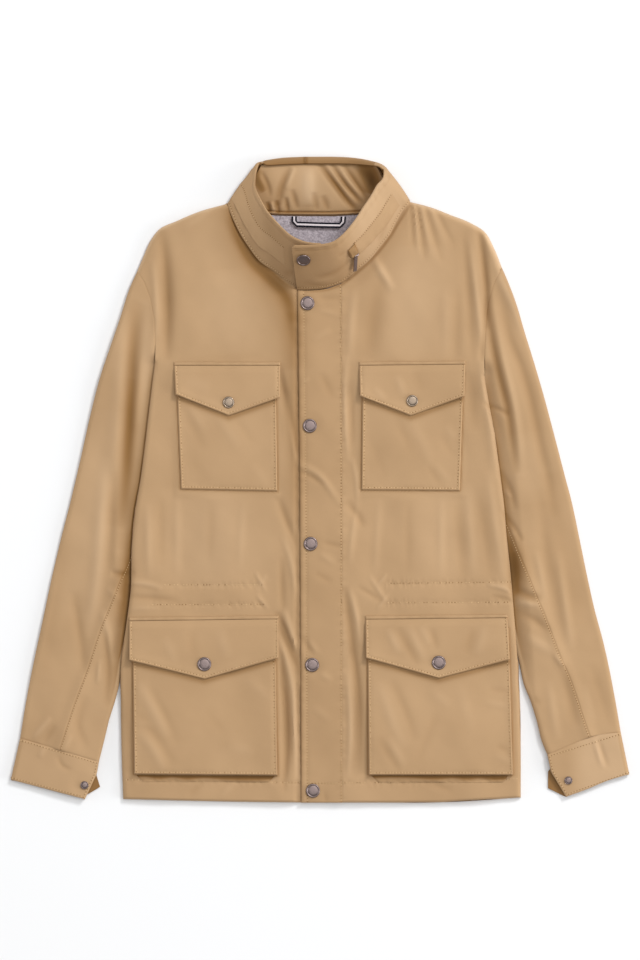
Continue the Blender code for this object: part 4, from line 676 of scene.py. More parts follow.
def ease(value, low, high):
    """0 below low, 1 above high, smooth between."""
    t = np.clip((value - low) / (high - low), 0, 1)
    return t * t * (3 - 2 * t)


def rounding(depth, reach):
    """Height share of a round edge at a depth in from it."""
    t = np.clip(depth / reach, 0, 1)
    return np.sqrt(1 - (1 - t) ** 2)


def graded(length, cell=GRID, start=True, end=True, close=CLOSE_ROWS):
    """Shares of a length with even cells, and finer ones by its edges."""
    close = np.asarray(close) / length
    head = close if start else np.array([0.0])
    tail = 1 - close[::-1] if end else np.array([1.0])
    count = max(2, int(round((tail[0] - head[-1]) * length / cell)))
    return np.concatenate((head, np.linspace(head[-1], tail[0], count + 1)[1:-1], tail))


def near_only(places, line, reach):
    """Indices of the flat list of places that can lie within reach of a line."""
    low, high = line.min(axis=0) - reach, line.max(axis=0) + reach
    return np.flatnonzero(((places > low) & (places < high)).all(axis=-1))


def strokes(places, table, ends=0.7):
    """Soft troughs and ridges, which fade out at both ends."""
    flat = places.reshape(-1, 2)
    total = np.zeros(len(flat))
    for width, rise, lean, line in table:
        line = np.asarray(line, float)
        if len(line) > 2:
            line = along(line, np.linspace(0, 1, 5 * len(line) - 4))
        close = near_only(flat, line, 3 * width)
        if not len(close):
            continue
        gap, side, reached, length = nearest(flat[close], line)
        across = gap / width
        fade = np.sin(np.pi * np.clip(reached / length, 0, 1)) ** ends
        total[close] += rise * np.exp(-across**2) * (1 + lean * side * across) * fade
    return total.reshape(places.shape[:-1])


def seam_marks(places, table):
    """The groove of each stitched line, and the uneven puckers beside it."""
    flat = places.reshape(-1, 2)
    total = np.zeros(len(flat))
    for line, depth, width, pucker, reach, wave in table:
        line = np.asarray(line, float)
        close = near_only(flat, line, 3 * max(width, reach))
        if not len(close):
            continue
        gap, side, reached, _length = nearest(flat[close], line)
        turn = 2 * np.pi * reached / wave
        waves = np.sin(turn + 2.2 * np.sin(turn * 0.23) + side) + 0.6 * np.sin(turn * 1.7 + 1.3 + 2.0 * side)
        total[close] += pucker * waves * np.exp(-(gap / reach) ** 2) - depth * np.exp(-(gap / width) ** 2)
    return total.reshape(places.shape[:-1])


# Slow waves that keep the open cloth from being dead flat: length, direction in degrees, height
WAVES = ((123, 8, 0.7), (83, 12, 0.34), (61, 70, 0.2), (47, 20, 0.16), (38, 160, 0.08), (29, 30, 0.05),
         (23, 152, 0.03), (17, 63, 0.015))


def undulation(places, shift=0.0):
    x, y = places[..., 0], places[..., 1]
    bend = 6 * np.sin(x / 41 + y / 67 + shift)
    total = np.zeros(x.shape)
    for length, degrees, height in WAVES:
        angle = math.radians(degrees)
        run = math.cos(angle) * (x + bend) + math.sin(angle) * (y - bend)
        total = total + height * np.sin(2 * np.pi * run / length + degrees + shift)
    return total


# ------------------------------------------------------------------ heights

def swollen(height, x, y):
    """A height with the broad rises and hollows."""
    for mid_x, mid_y, reach_x, reach_y, rise in SWELLS:
        height = height + rise * np.exp(-((x - mid_x) / reach_x) ** 2 - ((y - mid_y) / reach_y) ** 2)
    return height


def relief(places):
    """Height of the upper side of the fronts, placket and sleeves."""
    x, y = places[..., 0], places[..., 1]
    body = ease(-np.abs(x), -262, -205)
    height = SLEEVE_LEVEL + (FRONT_LEVEL - SLEEVE_LEVEL) * body
    height = swollen(height, x, y)
    for low, high, mid_y in CHANNELS:
        inside = ease(x, low - 4, low + 6) * ease(-x, -high - 4, -high + 6)
        height = height + 0.4 * inside * np.exp(-((y - mid_y) / 8.0) ** 4)
    open_cloth = calm(places)
    height = height + (FOLD_GAIN * strokes(places, FOLDS) + undulation(places)) * open_cloth
    return height + seam_marks(places, SEAMS)


def painted_fold_shading(places):
    """Painted shade in the depths of the folds and painted highlight on their ridges, with the shades table's
    painted shade and highlight, among it the cloth that the collar shades.
    """
    folds = np.clip(-FOLD_SHADE * strokes(places, FOLDS), -0.12, 0.5) * calm(places)
    return folds + strokes(places, SHADES, 0.4)


def calm(places):
    """1 on open cloth, less under the pockets and round the snaps, where the cloth lies level."""
    x, y = places[..., 0], places[..., 1]
    still = np.zeros(x.shape)
    for corners, _rise in POCKETS.values():
        left, right = min(corner[0] for corner in corners), max(corner[0] for corner in corners)
        low, high = min(corner[1] for corner in corners), max(corner[1] for corner in corners)
        inside = np.minimum(np.minimum(x - left, right - x), np.minimum(y - low + 6, high + 12 - y))
        still = np.maximum(still, 0.96 * ease(inside, -5, 3))
    for snap_x, snap_y, _kind in SNAPS.values():
        still = np.maximum(still, ease(-np.hypot(x - snap_x, y - snap_y), -1.8 * SNAP_FLAT, -0.8 * SNAP_FLAT))
    return 1 - still


# ------------------------------------------------------------------ making pieces

MATERIALS = {}


def piece_mesh(name, points, faces, coordinates, paint, smooth=True, painted_shading=None):
    """A mesh object from points in millimetres, with its cloth coordinates as a UV map in metres."""
    mesh = bpy.data.meshes.new(name)
    mesh.from_pydata((np.asarray(points) * MM).tolist(), [], faces)
    maker = bmesh.new()
    maker.from_mesh(mesh)
    if maker.calc_volume(signed=True) < 0:
        bmesh.ops.reverse_faces(maker, faces=maker.faces)
    maker.to_mesh(mesh)
    maker.free()
    layer = mesh.uv_layers.new(name="cloth")
    corners = np.zeros(len(mesh.loops), dtype=np.int32)
    mesh.loops.foreach_get("vertex_index", corners)
    layer.data.foreach_set("uv", (np.asarray(coordinates, float)[corners] * MM).ravel())
    # Painted shading that the cloth's colour reads: painted shade above 0, painted highlight below 0
    if painted_shading is not None:
        mesh.attributes.new("painted_shading", "FLOAT", "POINT").data.foreach_set("value", painted_shading.ravel())
    mesh.materials.append(MATERIALS[paint])
    if smooth:
        mesh.shade_smooth()
        mesh.set_sharp_from_angle(angle=math.radians(SHARP_ANGLE))
    made = bpy.data.objects.new(name, mesh)
    bpy.context.scene.collection.objects.link(made)
    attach(made, BODY)
    return made


def grid_faces(rows, columns, first=0, flip=False):
    index = first + np.arange(rows * columns).reshape(rows, columns)
    quads = np.stack((index[:-1, :-1], index[:-1, 1:], index[1:, 1:], index[1:, :-1]), axis=-1).reshape(-1, 4)
    return (quads[:, ::-1] if flip else quads).tolist()


def wall(name, outer, inner, paint="cloth", coordinates=None, painted_shading=None):
    """A sheet of cloth: two matching grids of points, joined round their rim."""
    rows, columns = outer.shape[:2]
    count = rows * columns
    points = np.concatenate((outer.reshape(-1, 3), inner.reshape(-1, 3)))
    faces = grid_faces(rows, columns) + grid_faces(rows, columns, count, True)
    rim = list(range(columns))
    rim += [row * columns + columns - 1 for row in range(1, rows)]
    rim += [(rows - 1) * columns + column for column in range(columns - 2, -1, -1)]
    rim += [row * columns for row in range(rows - 2, 0, -1)]
    for here, after in zip(rim, rim[1:] + rim[:1]):
        faces.append([after, here, here + count, after + count])
    if coordinates is None:
        coordinates = outer[..., :2]
    coordinates = np.concatenate((coordinates.reshape(-1, 2),) * 2)
    if painted_shading is not None:
        painted_shading = np.concatenate((np.clip(painted_shading, -0.5, 1).ravel(),) * 2)
    return piece_mesh(name, points, faces, coordinates, paint, painted_shading=painted_shading)


def lay(name, places, top, floor, cloth, painted_shading=None):
    """A sheet that lies on a floor: its upper side is at top, and it's cloth thick or rests on the floor."""
    bottom = np.maximum(top - cloth, floor)
    top = np.maximum(top, bottom + 0.35)
    return wall(name, joined(places, top), joined(places, bottom), painted_shading=painted_shading)


def cloth_piece(made, node):
    """The piece stands for its node, which it hides."""
    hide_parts(node)
    return made


class Stitches:
    """A run of small thread stitches and the needle's holes between them, gathered into one piece."""

    def __init__(self):
        self.points, self.faces, self.dark = [], [], []

    def run(self, line, surface, *sizes):
        """Stitches along a line in plan, on a surface given by its height function."""
        pitch, length, width, height, lift = sizes or STITCH
        line = np.asarray(line, float)
        steps = np.linalg.norm(np.diff(line, axis=0), axis=1)
        total = steps.sum()
        count = int(total / pitch)
        if count < 1:
            return
        knots = np.concatenate(([0.0], np.cumsum(steps)))
        starts = (np.arange(count) + 0.5) * total / count - length / 2
        spots = []
        for offset in (0.0, length / 2, length):
            at = np.clip(starts + offset, 0, total)
            spots.append(np.stack([np.interp(at, knots, line[:, axis]) for axis in (0, 1)], axis=1))
        levels = [surface(spot) + lift for spot in spots]
        for row in range(count):
            ends = [np.array((*spots[k][row], levels[k][row])) for k in range(3)]
            self.grain(*ends, np.array((0.0, 0.0, 1.0)), width, height)

    def grain(self, start, middle, end, up, width, height):
        """One stitch, two sunk ends and a round middle, with a hole after it coloured in painted shade."""
        run = end - start
        side = np.cross(run, up)
        side /= max(np.linalg.norm(side), 1e-9)
        along_it = run / max(np.linalg.norm(run), 1e-9)
        hole = end + along_it * HOLE_SIZE / 2 + up * HOLE_LIFT
        first = len(self.points)
        self.points += [hole + along_it * a + side * b for a, b in
                        ((HOLE_SIZE / 2, 0), (0, HOLE_SIZE / 2), (-HOLE_SIZE / 2, 0), (0, -HOLE_SIZE / 2))]
        self.points += [hole - up * HOLE_DEPTH]
        for here, after in ((0, 1), (1, 2), (2, 3), (3, 0)):
            self.dark.append(len(self.faces))
            self.faces.append([first + 4, first + after, first + here])
        self.dark.append(len(self.faces))
        self.faces.append([first, first + 1, first + 2, first + 3])
        first = len(self.points)
        middle = middle + up * height * 0.4
        self.points += [start - up * STITCH_SUNK, end - up * STITCH_SUNK,
                        middle + side * width / 2, middle + up * height * 0.6,
                        middle - side * width / 2, middle - up * height]
        for here, after in ((2, 3), (3, 4), (4, 5), (5, 2)):
            self.faces.append([first, first + here, first + after])
            self.faces.append([first + 1, first + after, first + here])

    def finish(self, name):
        made = piece_mesh(name, self.points, self.faces, np.array(self.points)[:, :2], "thread")
        made.data.materials.append(MATERIALS["needle_hole_shade"])
        for index in self.dark:
            made.data.polygons[index].material_index = 1
        return made


# ------------------------------------------------------------------ materials

def paint(name, colour, roughness, metallic=0.0, **sockets):
    """A Principled material, with its constant sockets set directly."""
    made = bpy.data.materials.new(name)
    made.use_nodes = True
    shader = made.node_tree.nodes["Principled BSDF"]
    shader.inputs["Base Color"].default_value = (*colour, 1.0)
    shader.inputs["Roughness"].default_value = roughness
    shader.inputs["Metallic"].default_value = metallic
    for socket, value in sockets.items():
        shader.inputs[socket.replace("_", " ")].default_value = value
    MATERIALS[name] = made
    return made, made.node_tree.nodes, made.node_tree.links, shader


def texture(nodes, links, kind, coordinate, **values):
    node = nodes.new(kind)
    for key, value in values.items():
        if key == "bands_direction":
            node.bands_direction = value
        else:
            node.inputs[key].default_value = value
    links.new(coordinate, node.inputs["Vector"])
    return node


def mix_colours(nodes, links, factor, first, second, blend="MIX"):
    node = nodes.new("ShaderNodeMix")
    node.data_type = "RGBA"
    node.blend_type = blend
    for socket, value in (("Factor", factor), ("A", first), ("B", second)):
        target = [item for item in node.inputs if item.name == socket and item.enabled][0]
        if hasattr(value, "links"):
            links.new(value, target)
        elif isinstance(value, tuple):
            target.default_value = (*value, 1.0)
        else:
            target.default_value = value
    return [item for item in node.outputs if item.enabled][0]


def ramp(nodes, links, value, low, high):
    node = nodes.new("ShaderNodeMapRange")
    links.new(value, node.inputs["Value"])
    node.inputs["From Min"].default_value = low
    node.inputs["From Max"].default_value = high
    return node.outputs["Result"]


def bump(nodes, links, height, strength, depth, before=None):
    node = nodes.new("ShaderNodeBump")
    node.inputs["Strength"].default_value = strength
    node.inputs["Distance"].default_value = depth
    links.new(height, node.inputs["Height"])
    if before is not None:
        links.new(before, node.inputs["Normal"])
    return node.outputs["Normal"]


def uneven_roughness(nodes, links, shader, pattern, low, high):
    span = nodes.new("ShaderNodeMapRange")
    links.new(pattern, span.inputs["Value"])
    span.inputs["To Min"].default_value = low
    span.inputs["To Max"].default_value = high
    links.new(span.outputs["Result"], shader.inputs["Roughness"])


def cloth_paint(name, light, deep, roughness, sheen):
    """Fine twill with faint random differences of tone, soft small creases and a satin sheen, and painted
    shade and painted highlight from each piece's painted shading.
    """
    _made, nodes, links, shader = paint(name, light, roughness, Sheen_Weight=sheen, Sheen_Roughness=0.45,
                                        Specular_IOR_Level=0.5)
    shader.inputs["Sheen Tint"].default_value = (1.0, 0.84, 0.62, 1.0)
    shader.inputs["Specular Tint"].default_value = (1.0, 0.72, 0.42, 1.0)
    place = nodes.new("ShaderNodeTexCoord").outputs["Object"]
    weft = nodes.new("ShaderNodeUVMap")
    weft.uv_map = "cloth"
    thread = weft.outputs["UV"]
    clouds = texture(nodes, links, "ShaderNodeTexNoise", place, Scale=9.0, Detail=3.0, Roughness=0.55)
    patches = texture(nodes, links, "ShaderNodeTexNoise", place, Scale=70.0, Detail=4.0, Roughness=0.6)
    twill = texture(nodes, links, "ShaderNodeTexWave", thread, Scale=420.0, Distortion=0.6, Detail=1.0,
                    bands_direction="DIAGONAL")
    grain = texture(nodes, links, "ShaderNodeTexNoise", thread, Scale=1500.0, Detail=2.0, Roughness=0.6)
    colour = mix_colours(nodes, links, ramp(nodes, links, clouds.outputs["Fac"], 0.35, 0.65), deep, light)
    fine = mix_colours(nodes, links, ramp(nodes, links, grain.outputs["Fac"], 0.2, 0.8), (0.93, 0.93, 0.93),
                       (1.0, 1.0, 1.0))
    colour = mix_colours(nodes, links, 1.0, colour, fine, "MULTIPLY")
    # Painted highlight where the piece's shading is below 0, painted shade in the fold colour up to 0.5, and
    # the darkest painted shade above that
    shading_attribute = nodes.new("ShaderNodeAttribute")
    shading_attribute.attribute_name = "painted_shading"
    shade = shading_attribute.outputs["Fac"]
    colour = mix_colours(nodes, links, ramp(nodes, links, shade, -0.5, 0.0), LIT, colour)
    colour = mix_colours(nodes, links, ramp(nodes, links, shade, 0.0, 0.5), colour, SHADED)
    colour = mix_colours(nodes, links, ramp(nodes, links, shade, 0.5, 1.0), colour, CREVICE_SHADE_COLOUR)
    links.new(colour, shader.inputs["Base Color"])
    uneven_roughness(nodes, links, shader, patches.outputs["Fac"], roughness - 0.05, roughness + 0.06)
    normal = bump(nodes, links, patches.outputs["Fac"], 0.12, 0.0008)
    normal = bump(nodes, links, twill.outputs["Fac"], 0.35, 0.00006, normal)
    normal = bump(nodes, links, grain.outputs["Fac"], 0.3, 0.00005, normal)
    links.new(normal, shader.inputs["Normal"])


def jersey_paint():
    """Grey melange jersey: light and dark fibres mixed, with knitted ribs."""
    _made, nodes, links, shader = paint("jersey", JERSEY_LIGHT, 0.92, Sheen_Weight=0.25,
                                        Specular_IOR_Level=0.2)
    place = nodes.new("ShaderNodeTexCoord").outputs["Object"]
    fibres = texture(nodes, links, "ShaderNodeTexNoise", place, Scale=420.0, Detail=5.0, Roughness=0.75)
    ribs = texture(nodes, links, "ShaderNodeTexWave", place, Scale=230.0, Distortion=1.5, Detail=2.0,
                   bands_direction="X")
    colour = mix_colours(nodes, links, ramp(nodes, links, fibres.outputs["Fac"], 0.38, 0.62), JERSEY_DARK,
                         JERSEY_LIGHT)
    links.new(colour, shader.inputs["Base Color"])
    normal = bump(nodes, links, fibres.outputs["Fac"], 0.6, 0.0004)
    links.new(bump(nodes, links, ribs.outputs["Fac"], 0.4, 0.0002, normal), shader.inputs["Normal"])


def ribbon_paint(name, colour):
    _made, nodes, links, shader = paint(name, colour, 0.85, Specular_IOR_Level=0.15)
    thread = nodes.new("ShaderNodeUVMap")
    thread.uv_map = "cloth"
    ribs = texture(nodes, links, "ShaderNodeTexWave", thread.outputs["UV"], Scale=300.0, Distortion=0.3,
                   bands_direction="X")
    links.new(bump(nodes, links, ribs.outputs["Fac"], 0.7, 0.0002), shader.inputs["Normal"])


def metal_paint(name, colour, roughness):
    """Satin gunmetal with faint cast unevenness and finer scratches."""
    _made, nodes, links, shader = paint(name, colour, roughness, 1.0)
    place = nodes.new("ShaderNodeTexCoord").outputs["Object"]
    cast = texture(nodes, links, "ShaderNodeTexNoise", place, Scale=900.0, Detail=4.0, Roughness=0.6)
    uneven_roughness(nodes, links, shader, cast.outputs["Fac"], roughness - 0.1, roughness + 0.14)
    dark = tuple(0.72 * part for part in colour)
    links.new(mix_colours(nodes, links, cast.outputs["Fac"], dark, colour), shader.inputs["Base Color"])
    links.new(bump(nodes, links, cast.outputs["Fac"], 0.35, 0.00015), shader.inputs["Normal"])


def make_paints():
    cloth_paint("cloth", TAN, TAN_DEEP, 0.56, 0.04)
    cloth_paint("satin", tuple(1.03 * part for part in TAN), TAN, 0.50, 0.05)
    paint("thread", THREAD, 0.6, Sheen_Weight=0.2)
    paint("needle_hole_shade", NEEDLE_HOLE_SHADE, 0.9, Specular_IOR_Level=0.1)
    jersey_paint()
    ribbon_paint("ribbon_black", RIBBON_BLACK)
    ribbon_paint("ribbon_white", RIBBON_WHITE)
    metal_paint("metal", METAL, 0.34)
    metal_paint("metal_light", METAL_LIGHT, 0.36)


# ------------------------------------------------------------------ body

def panel_floor(places, side):
    """What the front's folded edges come down to: the back, or above the sleeve where they overlap it."""
    y = places[..., 1]
    over = ease(y, *BODY_OVER_SLEEVE[side]) * (1 - ease(y, ARMPIT_Y[side] + 10, ARMPIT_Y[side] + 60))
    return BACK_TOP + REST + (LIP_LEVEL - BACK_TOP - REST) * over


UP_SHARES = graded(700.0)


def collar_seam(side):
    """The seam of the collar on the front, as points in plan."""
    return [row[:2] for row in COLLAR[side] if row[2] > 0.5]


def neckline(side):
    """The front's neck edge, just under the collar's seam, from the opening to the shoulder."""
    left = side == "left"
    opening_x = UNDERLAP_X if left else PLACKET_RIGHT[0] + BESIDE_PLACKET
    seam = np.array(collar_seam(side))[::-1]
    order = 1 if left else -1
    start_y = np.interp(order * -opening_x, order * -seam[:, 0], seam[:, 1])
    beyond = order * seam[:, 0] < order * opening_x - 2
    inner = np.concatenate(([[opening_x, start_y]], seam[beyond][:-1]))
    toward = np.array(NECK_MIDDLE) - inner
    toward[0] = (0, 1)
    inner = inner + NECK_TUCK * toward / np.linalg.norm(toward, axis=1)[:, None]
    return np.concatenate((inner, [SHOULDER[side][0]]))


def front_top(places, side):
    """Upper side of a front, rounded down at its folded edges."""
    full = relief(places)
    if side == "left":
        full = full - PLACKET_SINK * ease(places[..., 0], -34, -27)
    full = full - bell(places, ARMHOLE[side][1:], *ARMHOLE_DIP)
    full = full - bell(places, collar_seam(side), *COLLAR_DIP)
    folded_side = [point for point in SIDE_EDGE[side] if point[1] <= ARMPIT_Y[side]]
    shoulder = along(SHOULDER[side], np.linspace(0, 1, 60))
    floor = panel_floor(places, side)
    rim = np.minimum(distance(places, shoulder), distance(places, folded_side))
    top = floor + (full - floor) * rounding(rim, EDGE_REACH)
    return BACK_TOP + REST + (top - BACK_TOP - REST) * rounding(distance(places, HEM[side]), 3.0), floor


def front(side):
    """One front: rows from the hem to the shoulder and neck, columns from the opening to the side."""
    hem, shoulder = HEM[side], SHOULDER[side]
    neck_share = 0.5 if side == "left" else 0.42
    neck_columns = neck_share * graded(150.0, end=False)
    shoulder_columns = neck_share + (1 - neck_share) * graded(125.0, start=False)
    across = np.concatenate((neck_columns, shoulder_columns[1:]))
    side_points = along(SIDE_EDGE[side], UP_SHARES)
    top = np.concatenate((along(neckline(side), neck_columns / neck_share),
                          along(shoulder, (shoulder_columns[1:] - neck_share) / (1 - neck_share))))
    top[-1] = side_points[-1]
    opening = top[0] + (np.array(hem[0]) - top[0]) * (1 - UP_SHARES)[:, None]
    places = coons(along(hem, across), top, opening, side_points, across, UP_SHARES)
    upper, floor = front_top(places, side)
    # Painted shade of the folds and round the pockets, and painted highlight along the shoulder's rim
    painted_shading = painted_fold_shading(places)
    for name, (corners, _rise) in POCKETS.items():
        if name.endswith(side):
            painted_shading = painted_shading + bell(places, ring_of(corners), *POCKET_SHADE)
    painted_shading = painted_shading + bell(places, shoulder, *SHOULDER_SHADE)
    made = lay("cloth_front_" + side, places, upper, floor, CLOTH, painted_shading=painted_shading)
    return cloth_piece(made, "front_" + side)


def back():
    """The back: one flat sheet from the hem to the shoulders and neck, under the fronts."""
    def side_outline(side):
        parted = BODY_OVER_SLEEVE[side][1]
        free = along(SIDE_EDGE[side], np.linspace(0, 1, 120))
        tucked = along(SLEEVE_INNER[side], np.linspace(0, 1, 90))
        tucked = tucked[tucked[:, 1] > parted][::-1] + (SEAM_LAP if side == "left" else -SEAM_LAP, 0.0)
        return np.concatenate((free[free[:, 1] < parted - 15], tucked,
                               along(ARMHOLE[side], np.linspace(0.02, 1, 40))))

    middle = np.linspace(0.02, 0.98, 60)
    outline = np.concatenate((
        side_outline("left"), along(SHOULDER["left"], middle)[::-1],
        rows_at(COLLAR["left"], np.linspace(4, 0, 40))[:, :2],
        rows_at(COLLAR["right"], np.linspace(0.1, 4, 40))[:, :2],
        along(SHOULDER["right"], middle), side_outline("right")[::-1],
        along(HEM["right"], middle)[::-1], along(HEM["left"], middle)))
    made = slab("cloth_back", outline, 0.0, BACK_TOP, "cloth")
    return cloth_piece(made, "back")


def slab(name, outline, low, high, paint_name):
    """A flat sheet from its outline, with a softly rounded rim."""
    rim = np.asarray(outline, float)
    run = np.roll(rim, -1, axis=0) - np.roll(rim, 1, axis=0)
    normal = np.stack((-run[:, 1], run[:, 0]), axis=1)
    normal /= np.linalg.norm(normal, axis=1)[:, None]
    area = 0.5 * np.sum(rim[:, 0] * np.roll(rim[:, 1], -1) - rim[:, 1] * np.roll(rim[:, 0], -1))
    normal *= math.copysign(1.0, area)
    count = len(rim)
    bevel = 0.45
    rings = ((0.5, low), (0.0, low + bevel), (0.0, high - bevel), (0.5, high))
    points = np.concatenate([np.column_stack((rim + normal * inset, np.full(count, level)))
                             for inset, level in rings])
    faces = [list(range(count - 1, -1, -1)), list(range(3 * count, 4 * count))]
    for ring in range(3):
        for index in range(count):
            after = (index + 1) % count
            faces.append([ring * count + index, ring * count + after, (ring + 1) * count + after,
                          (ring + 1) * count + index])
    return piece_mesh(name, points, faces, points[:, :2], paint_name, smooth=False)


def placket_top(places):
    """Upper side of the placket and its underside, with the stitched groove along its free edge."""
    hem_left, hem_right = (PLACKET_LEFT[1], HEM_Y), (PLACKET_RIGHT[1], HEM_Y)
    edge = ((PLACKET_LEFT[0], PLACKET_TOP_Y), PLACKET_MIDDLE, hem_left)
    free_edge = np.minimum(distance(places, edge), distance(places, (hem_left, hem_right)))
    full = relief(places)
    edge_x, edge_y = zip(*edge[::-1])
    inset = places[..., 0] - np.interp(places[..., 1], edge_y, edge_x)
    full = beaded(full, inset, PLACKET_BEADS) - bell(places, collar_seam("right"), *PLACKET_COLLAR_DIP)
    turn = 2 * np.pi * places[..., 1] / 19
    full = full + 0.35 * np.sin(turn + 2 * np.sin(turn * 0.21)) * np.exp(-(inset / 7.0) ** 2) * calm(places)
    rim = full - 0.9 * CLOTH
    return rim + (full - rim) * rounding(free_edge, 1.8), full - CLOTH


def placket():
    """The fly strip: over the left front, stitched to the right front."""
    across = graded(55.0, end=False, cell=2.2)
    up = graded(656.0)
    hem = along(((PLACKET_LEFT[1], HEM_Y), (0, HEM_Y), (PLACKET_RIGHT[1], HEM_Y)), across)
    top = along(((PLACKET_LEFT[0], 242.1), (-13, 242.0), (9, 244.5), (PLACKET_RIGHT[0], 251.2)), across)
    start = along((hem[0], PLACKET_MIDDLE, top[0]), up)
    end = along((hem[-1], top[-1]), up)
    places = coons(hem, top, start, end, across, up)
    upper, floor = placket_top(places)
    # Painted shade of the folds, and painted shade over the whole placket
    made = lay("cloth_placket", places, upper, floor, CLOTH, painted_shading=painted_fold_shading(places) + PLACKET_SHADE)
    return cloth_piece(made, "placket")


# ------------------------------------------------------------------ sleeves and cuffs

def inward(outer, thickness):
    """Steps from a grid round a flattened tube into its wall, whose first column lies on top."""
    normal = np.cross(np.gradient(outer, axis=0), np.gradient(outer, axis=1))
    normal /= np.maximum(np.linalg.norm(normal, axis=-1)[..., None], 1e-9)
    return normal * -np.sign(normal[:, 0, 2].mean()) * thickness


def outside_body(places, side):
    """Distance in plan outside the body's folded edge, less than 0 under it."""
    edge = along(SIDE_EDGE[side], np.linspace(0, 1, 60))
    edge = edge[edge[:, 1] <= ARMPIT_Y[side] + 4]
    away = distance(places, edge)
    edge_x = np.interp(places[..., 1], edge[:, 1], edge[:, 0])
    under = (places[..., 0] > edge_x) == (side == "left")
    return np.where(under & (places[..., 1] < edge[-1, 1]), -away, away)


def sleeve_height(places, side):
    """Upper side of a sleeve: low beside the body that lies on it, and dipped at its seams."""
    outside = outside_body(places, side)
    full = relief(places)
    low = np.minimum(TUCKED_LEVEL + 0.12 * np.maximum(full - SLEEVE_LEVEL, -6), full)
    height = low + (full - low) * ease(outside, *TUCK_REACH)
    height = height - bell(places, ARMHOLE[side], *ARMHOLE_DIP)
    height = height - bell(places, CUFF_SEAM[side], *SLEEVE_END_DIP)
    away, turn, _reached, _length = nearest(places, forearm_seam(side))
    inner = away * np.exp(-(away / 70) ** 2) * ((turn > 0) == (side == "right"))
    ridge = 1.8 * np.exp(-(away / 8) ** 2) - FOREARM_DIP[0] * np.exp(-(away / FOREARM_DIP[1]) ** 2)
    height = height + (ridge - 0.05 * inner) * ease(outside, 0, 14)
    return np.maximum(height, 2.6)


def sleeve_painted_shading(places, side):
    """Painted shade between the body's edge and the sleeve, in the deepest folds and along the seams, with
    the folds' painted shade and highlight.
    """
    outside = np.maximum(outside_body(places, side), 0)
    y = places[..., 1]
    beside = ease(-y, -ARMPIT_Y[side] - 6, -ARMPIT_Y[side] + 30)
    levels, widths, depths = np.transpose(CREVICES[side])
    width, depth = np.interp(-y, -levels, widths), np.interp(-y, -levels, depths)
    soft = 0.34 * np.exp(-(outside / (2.8 * width)) ** 2)
    gap = np.maximum(depth * np.exp(-(outside / width) ** 2), soft) * beside
    seams = bell(places, ARMHOLE[side], *ARMHOLE_SHADE) + bell(places, forearm_seam(side), *FOREARM_SHADE)
    return gap + strokes(places, HOLLOWS) + seams + painted_fold_shading(places)


def sleeve_plan(side):
    """The flattened sleeve in plan: a grid from the armhole to the cuff, and its rows' widths."""
    down = graded(640.0, close=TUBE_ROWS)
    samples = np.linspace(0, 1, 81)
    hole = along(ARMHOLE[side], samples) + (SEAM_LAP if side == "left" else -SEAM_LAP, 0.0)
    end = along(CUFF_SEAM[side], samples) - (0.0, SEAM_LAP)
    grid = coons(hole, end, along(SLEEVE_INNER[side], down), along(SLEEVE_OUTER[side], down), samples, down)
    width = np.linalg.norm(np.diff(grid, axis=1), axis=2).sum(axis=1)
    return down, samples, grid, width


def read_rows(grid, samples, shares):
    """Points of each row of a grid at that row's shares across."""
    out = np.zeros(shares.shape + (2,))
    for row in range(len(grid)):
        for axis in (0, 1):
            out[row, :, axis] = np.interp(shares[row], samples, grid[row, :, axis])
    return out


def tube_outside(top_places, top_height, edge_places, under_places):
    """Outer side of a flattened tube: its top, its round edge and its underside on the floor."""
    edge_height = top_height[:, -1:] / 2 * (1 + np.sin(np.radians(EDGE_ANGLES)))[None]
    return np.concatenate((joined(top_places, top_height), joined(edge_places, edge_height),
                           joined(under_places, np.zeros(under_places.shape[:2]))), axis=1)


def edge_insets(width):
    """Distances in from a tube's edge to the rows round it, as shares of its width."""
    return EDGE_REACH * (1 - np.cos(np.radians(EDGE_ANGLES)))[None] / width[:, None]


def tube_strip(name, plan, parts, side, columns):
    """A strip of a flattened tube. Its parts run over the top, round one edge and back underneath."""
    _down, samples, grid, width = plan
    top_from, edge_at, bottom_to = parts
    top_count, beneath_count = columns
    toward = 1 if edge_at == 1 else -1
    near = edge_at - toward * EDGE_REACH / width
    tops = graded(100.0, cell=100.0 / top_count, end=False, close=TUBE_ROWS)
    top_places = read_rows(grid, samples, top_from[:, None] + (near - top_from)[:, None] * tops)
    edge_places = read_rows(grid, samples, edge_at - toward * edge_insets(width))
    beneath = np.linspace(0, 1, beneath_count + 1)[1:]
    under_places = read_rows(grid, samples, near[:, None] + (bottom_to - near)[:, None] * beneath)
    outer = tube_outside(top_places, sleeve_height(top_places, side), edge_places, under_places)
    inner = outer + inward(outer, SLEEVE_CLOTH)
    lying = -len(beneath) - 1
    inner[:, lying:] = outer[:, lying:] + (0, 0, SLEEVE_CLOTH)
    inner[..., 2] = np.clip(inner[..., 2], REST, None)
    steps = np.linalg.norm(np.diff(outer, axis=1), axis=2)
    u = np.concatenate((np.zeros((len(outer), 1)), np.cumsum(steps, axis=1)), axis=1)
    v = np.repeat(outer[:, :1, 1], outer.shape[1], axis=1)
    # Painted shade and highlight on the sleeve's top side only
    painted_shading = np.zeros(outer.shape[:2])
    painted_shading[:, :top_places.shape[1]] = sleeve_painted_shading(top_places, side)
    return wall(name, outer, inner, coordinates=np.stack((u, v), axis=-1), painted_shading=painted_shading)


def forearm_share(side, down):
    return np.interp(down, *np.transpose(FOREARM_SEAM[side]))


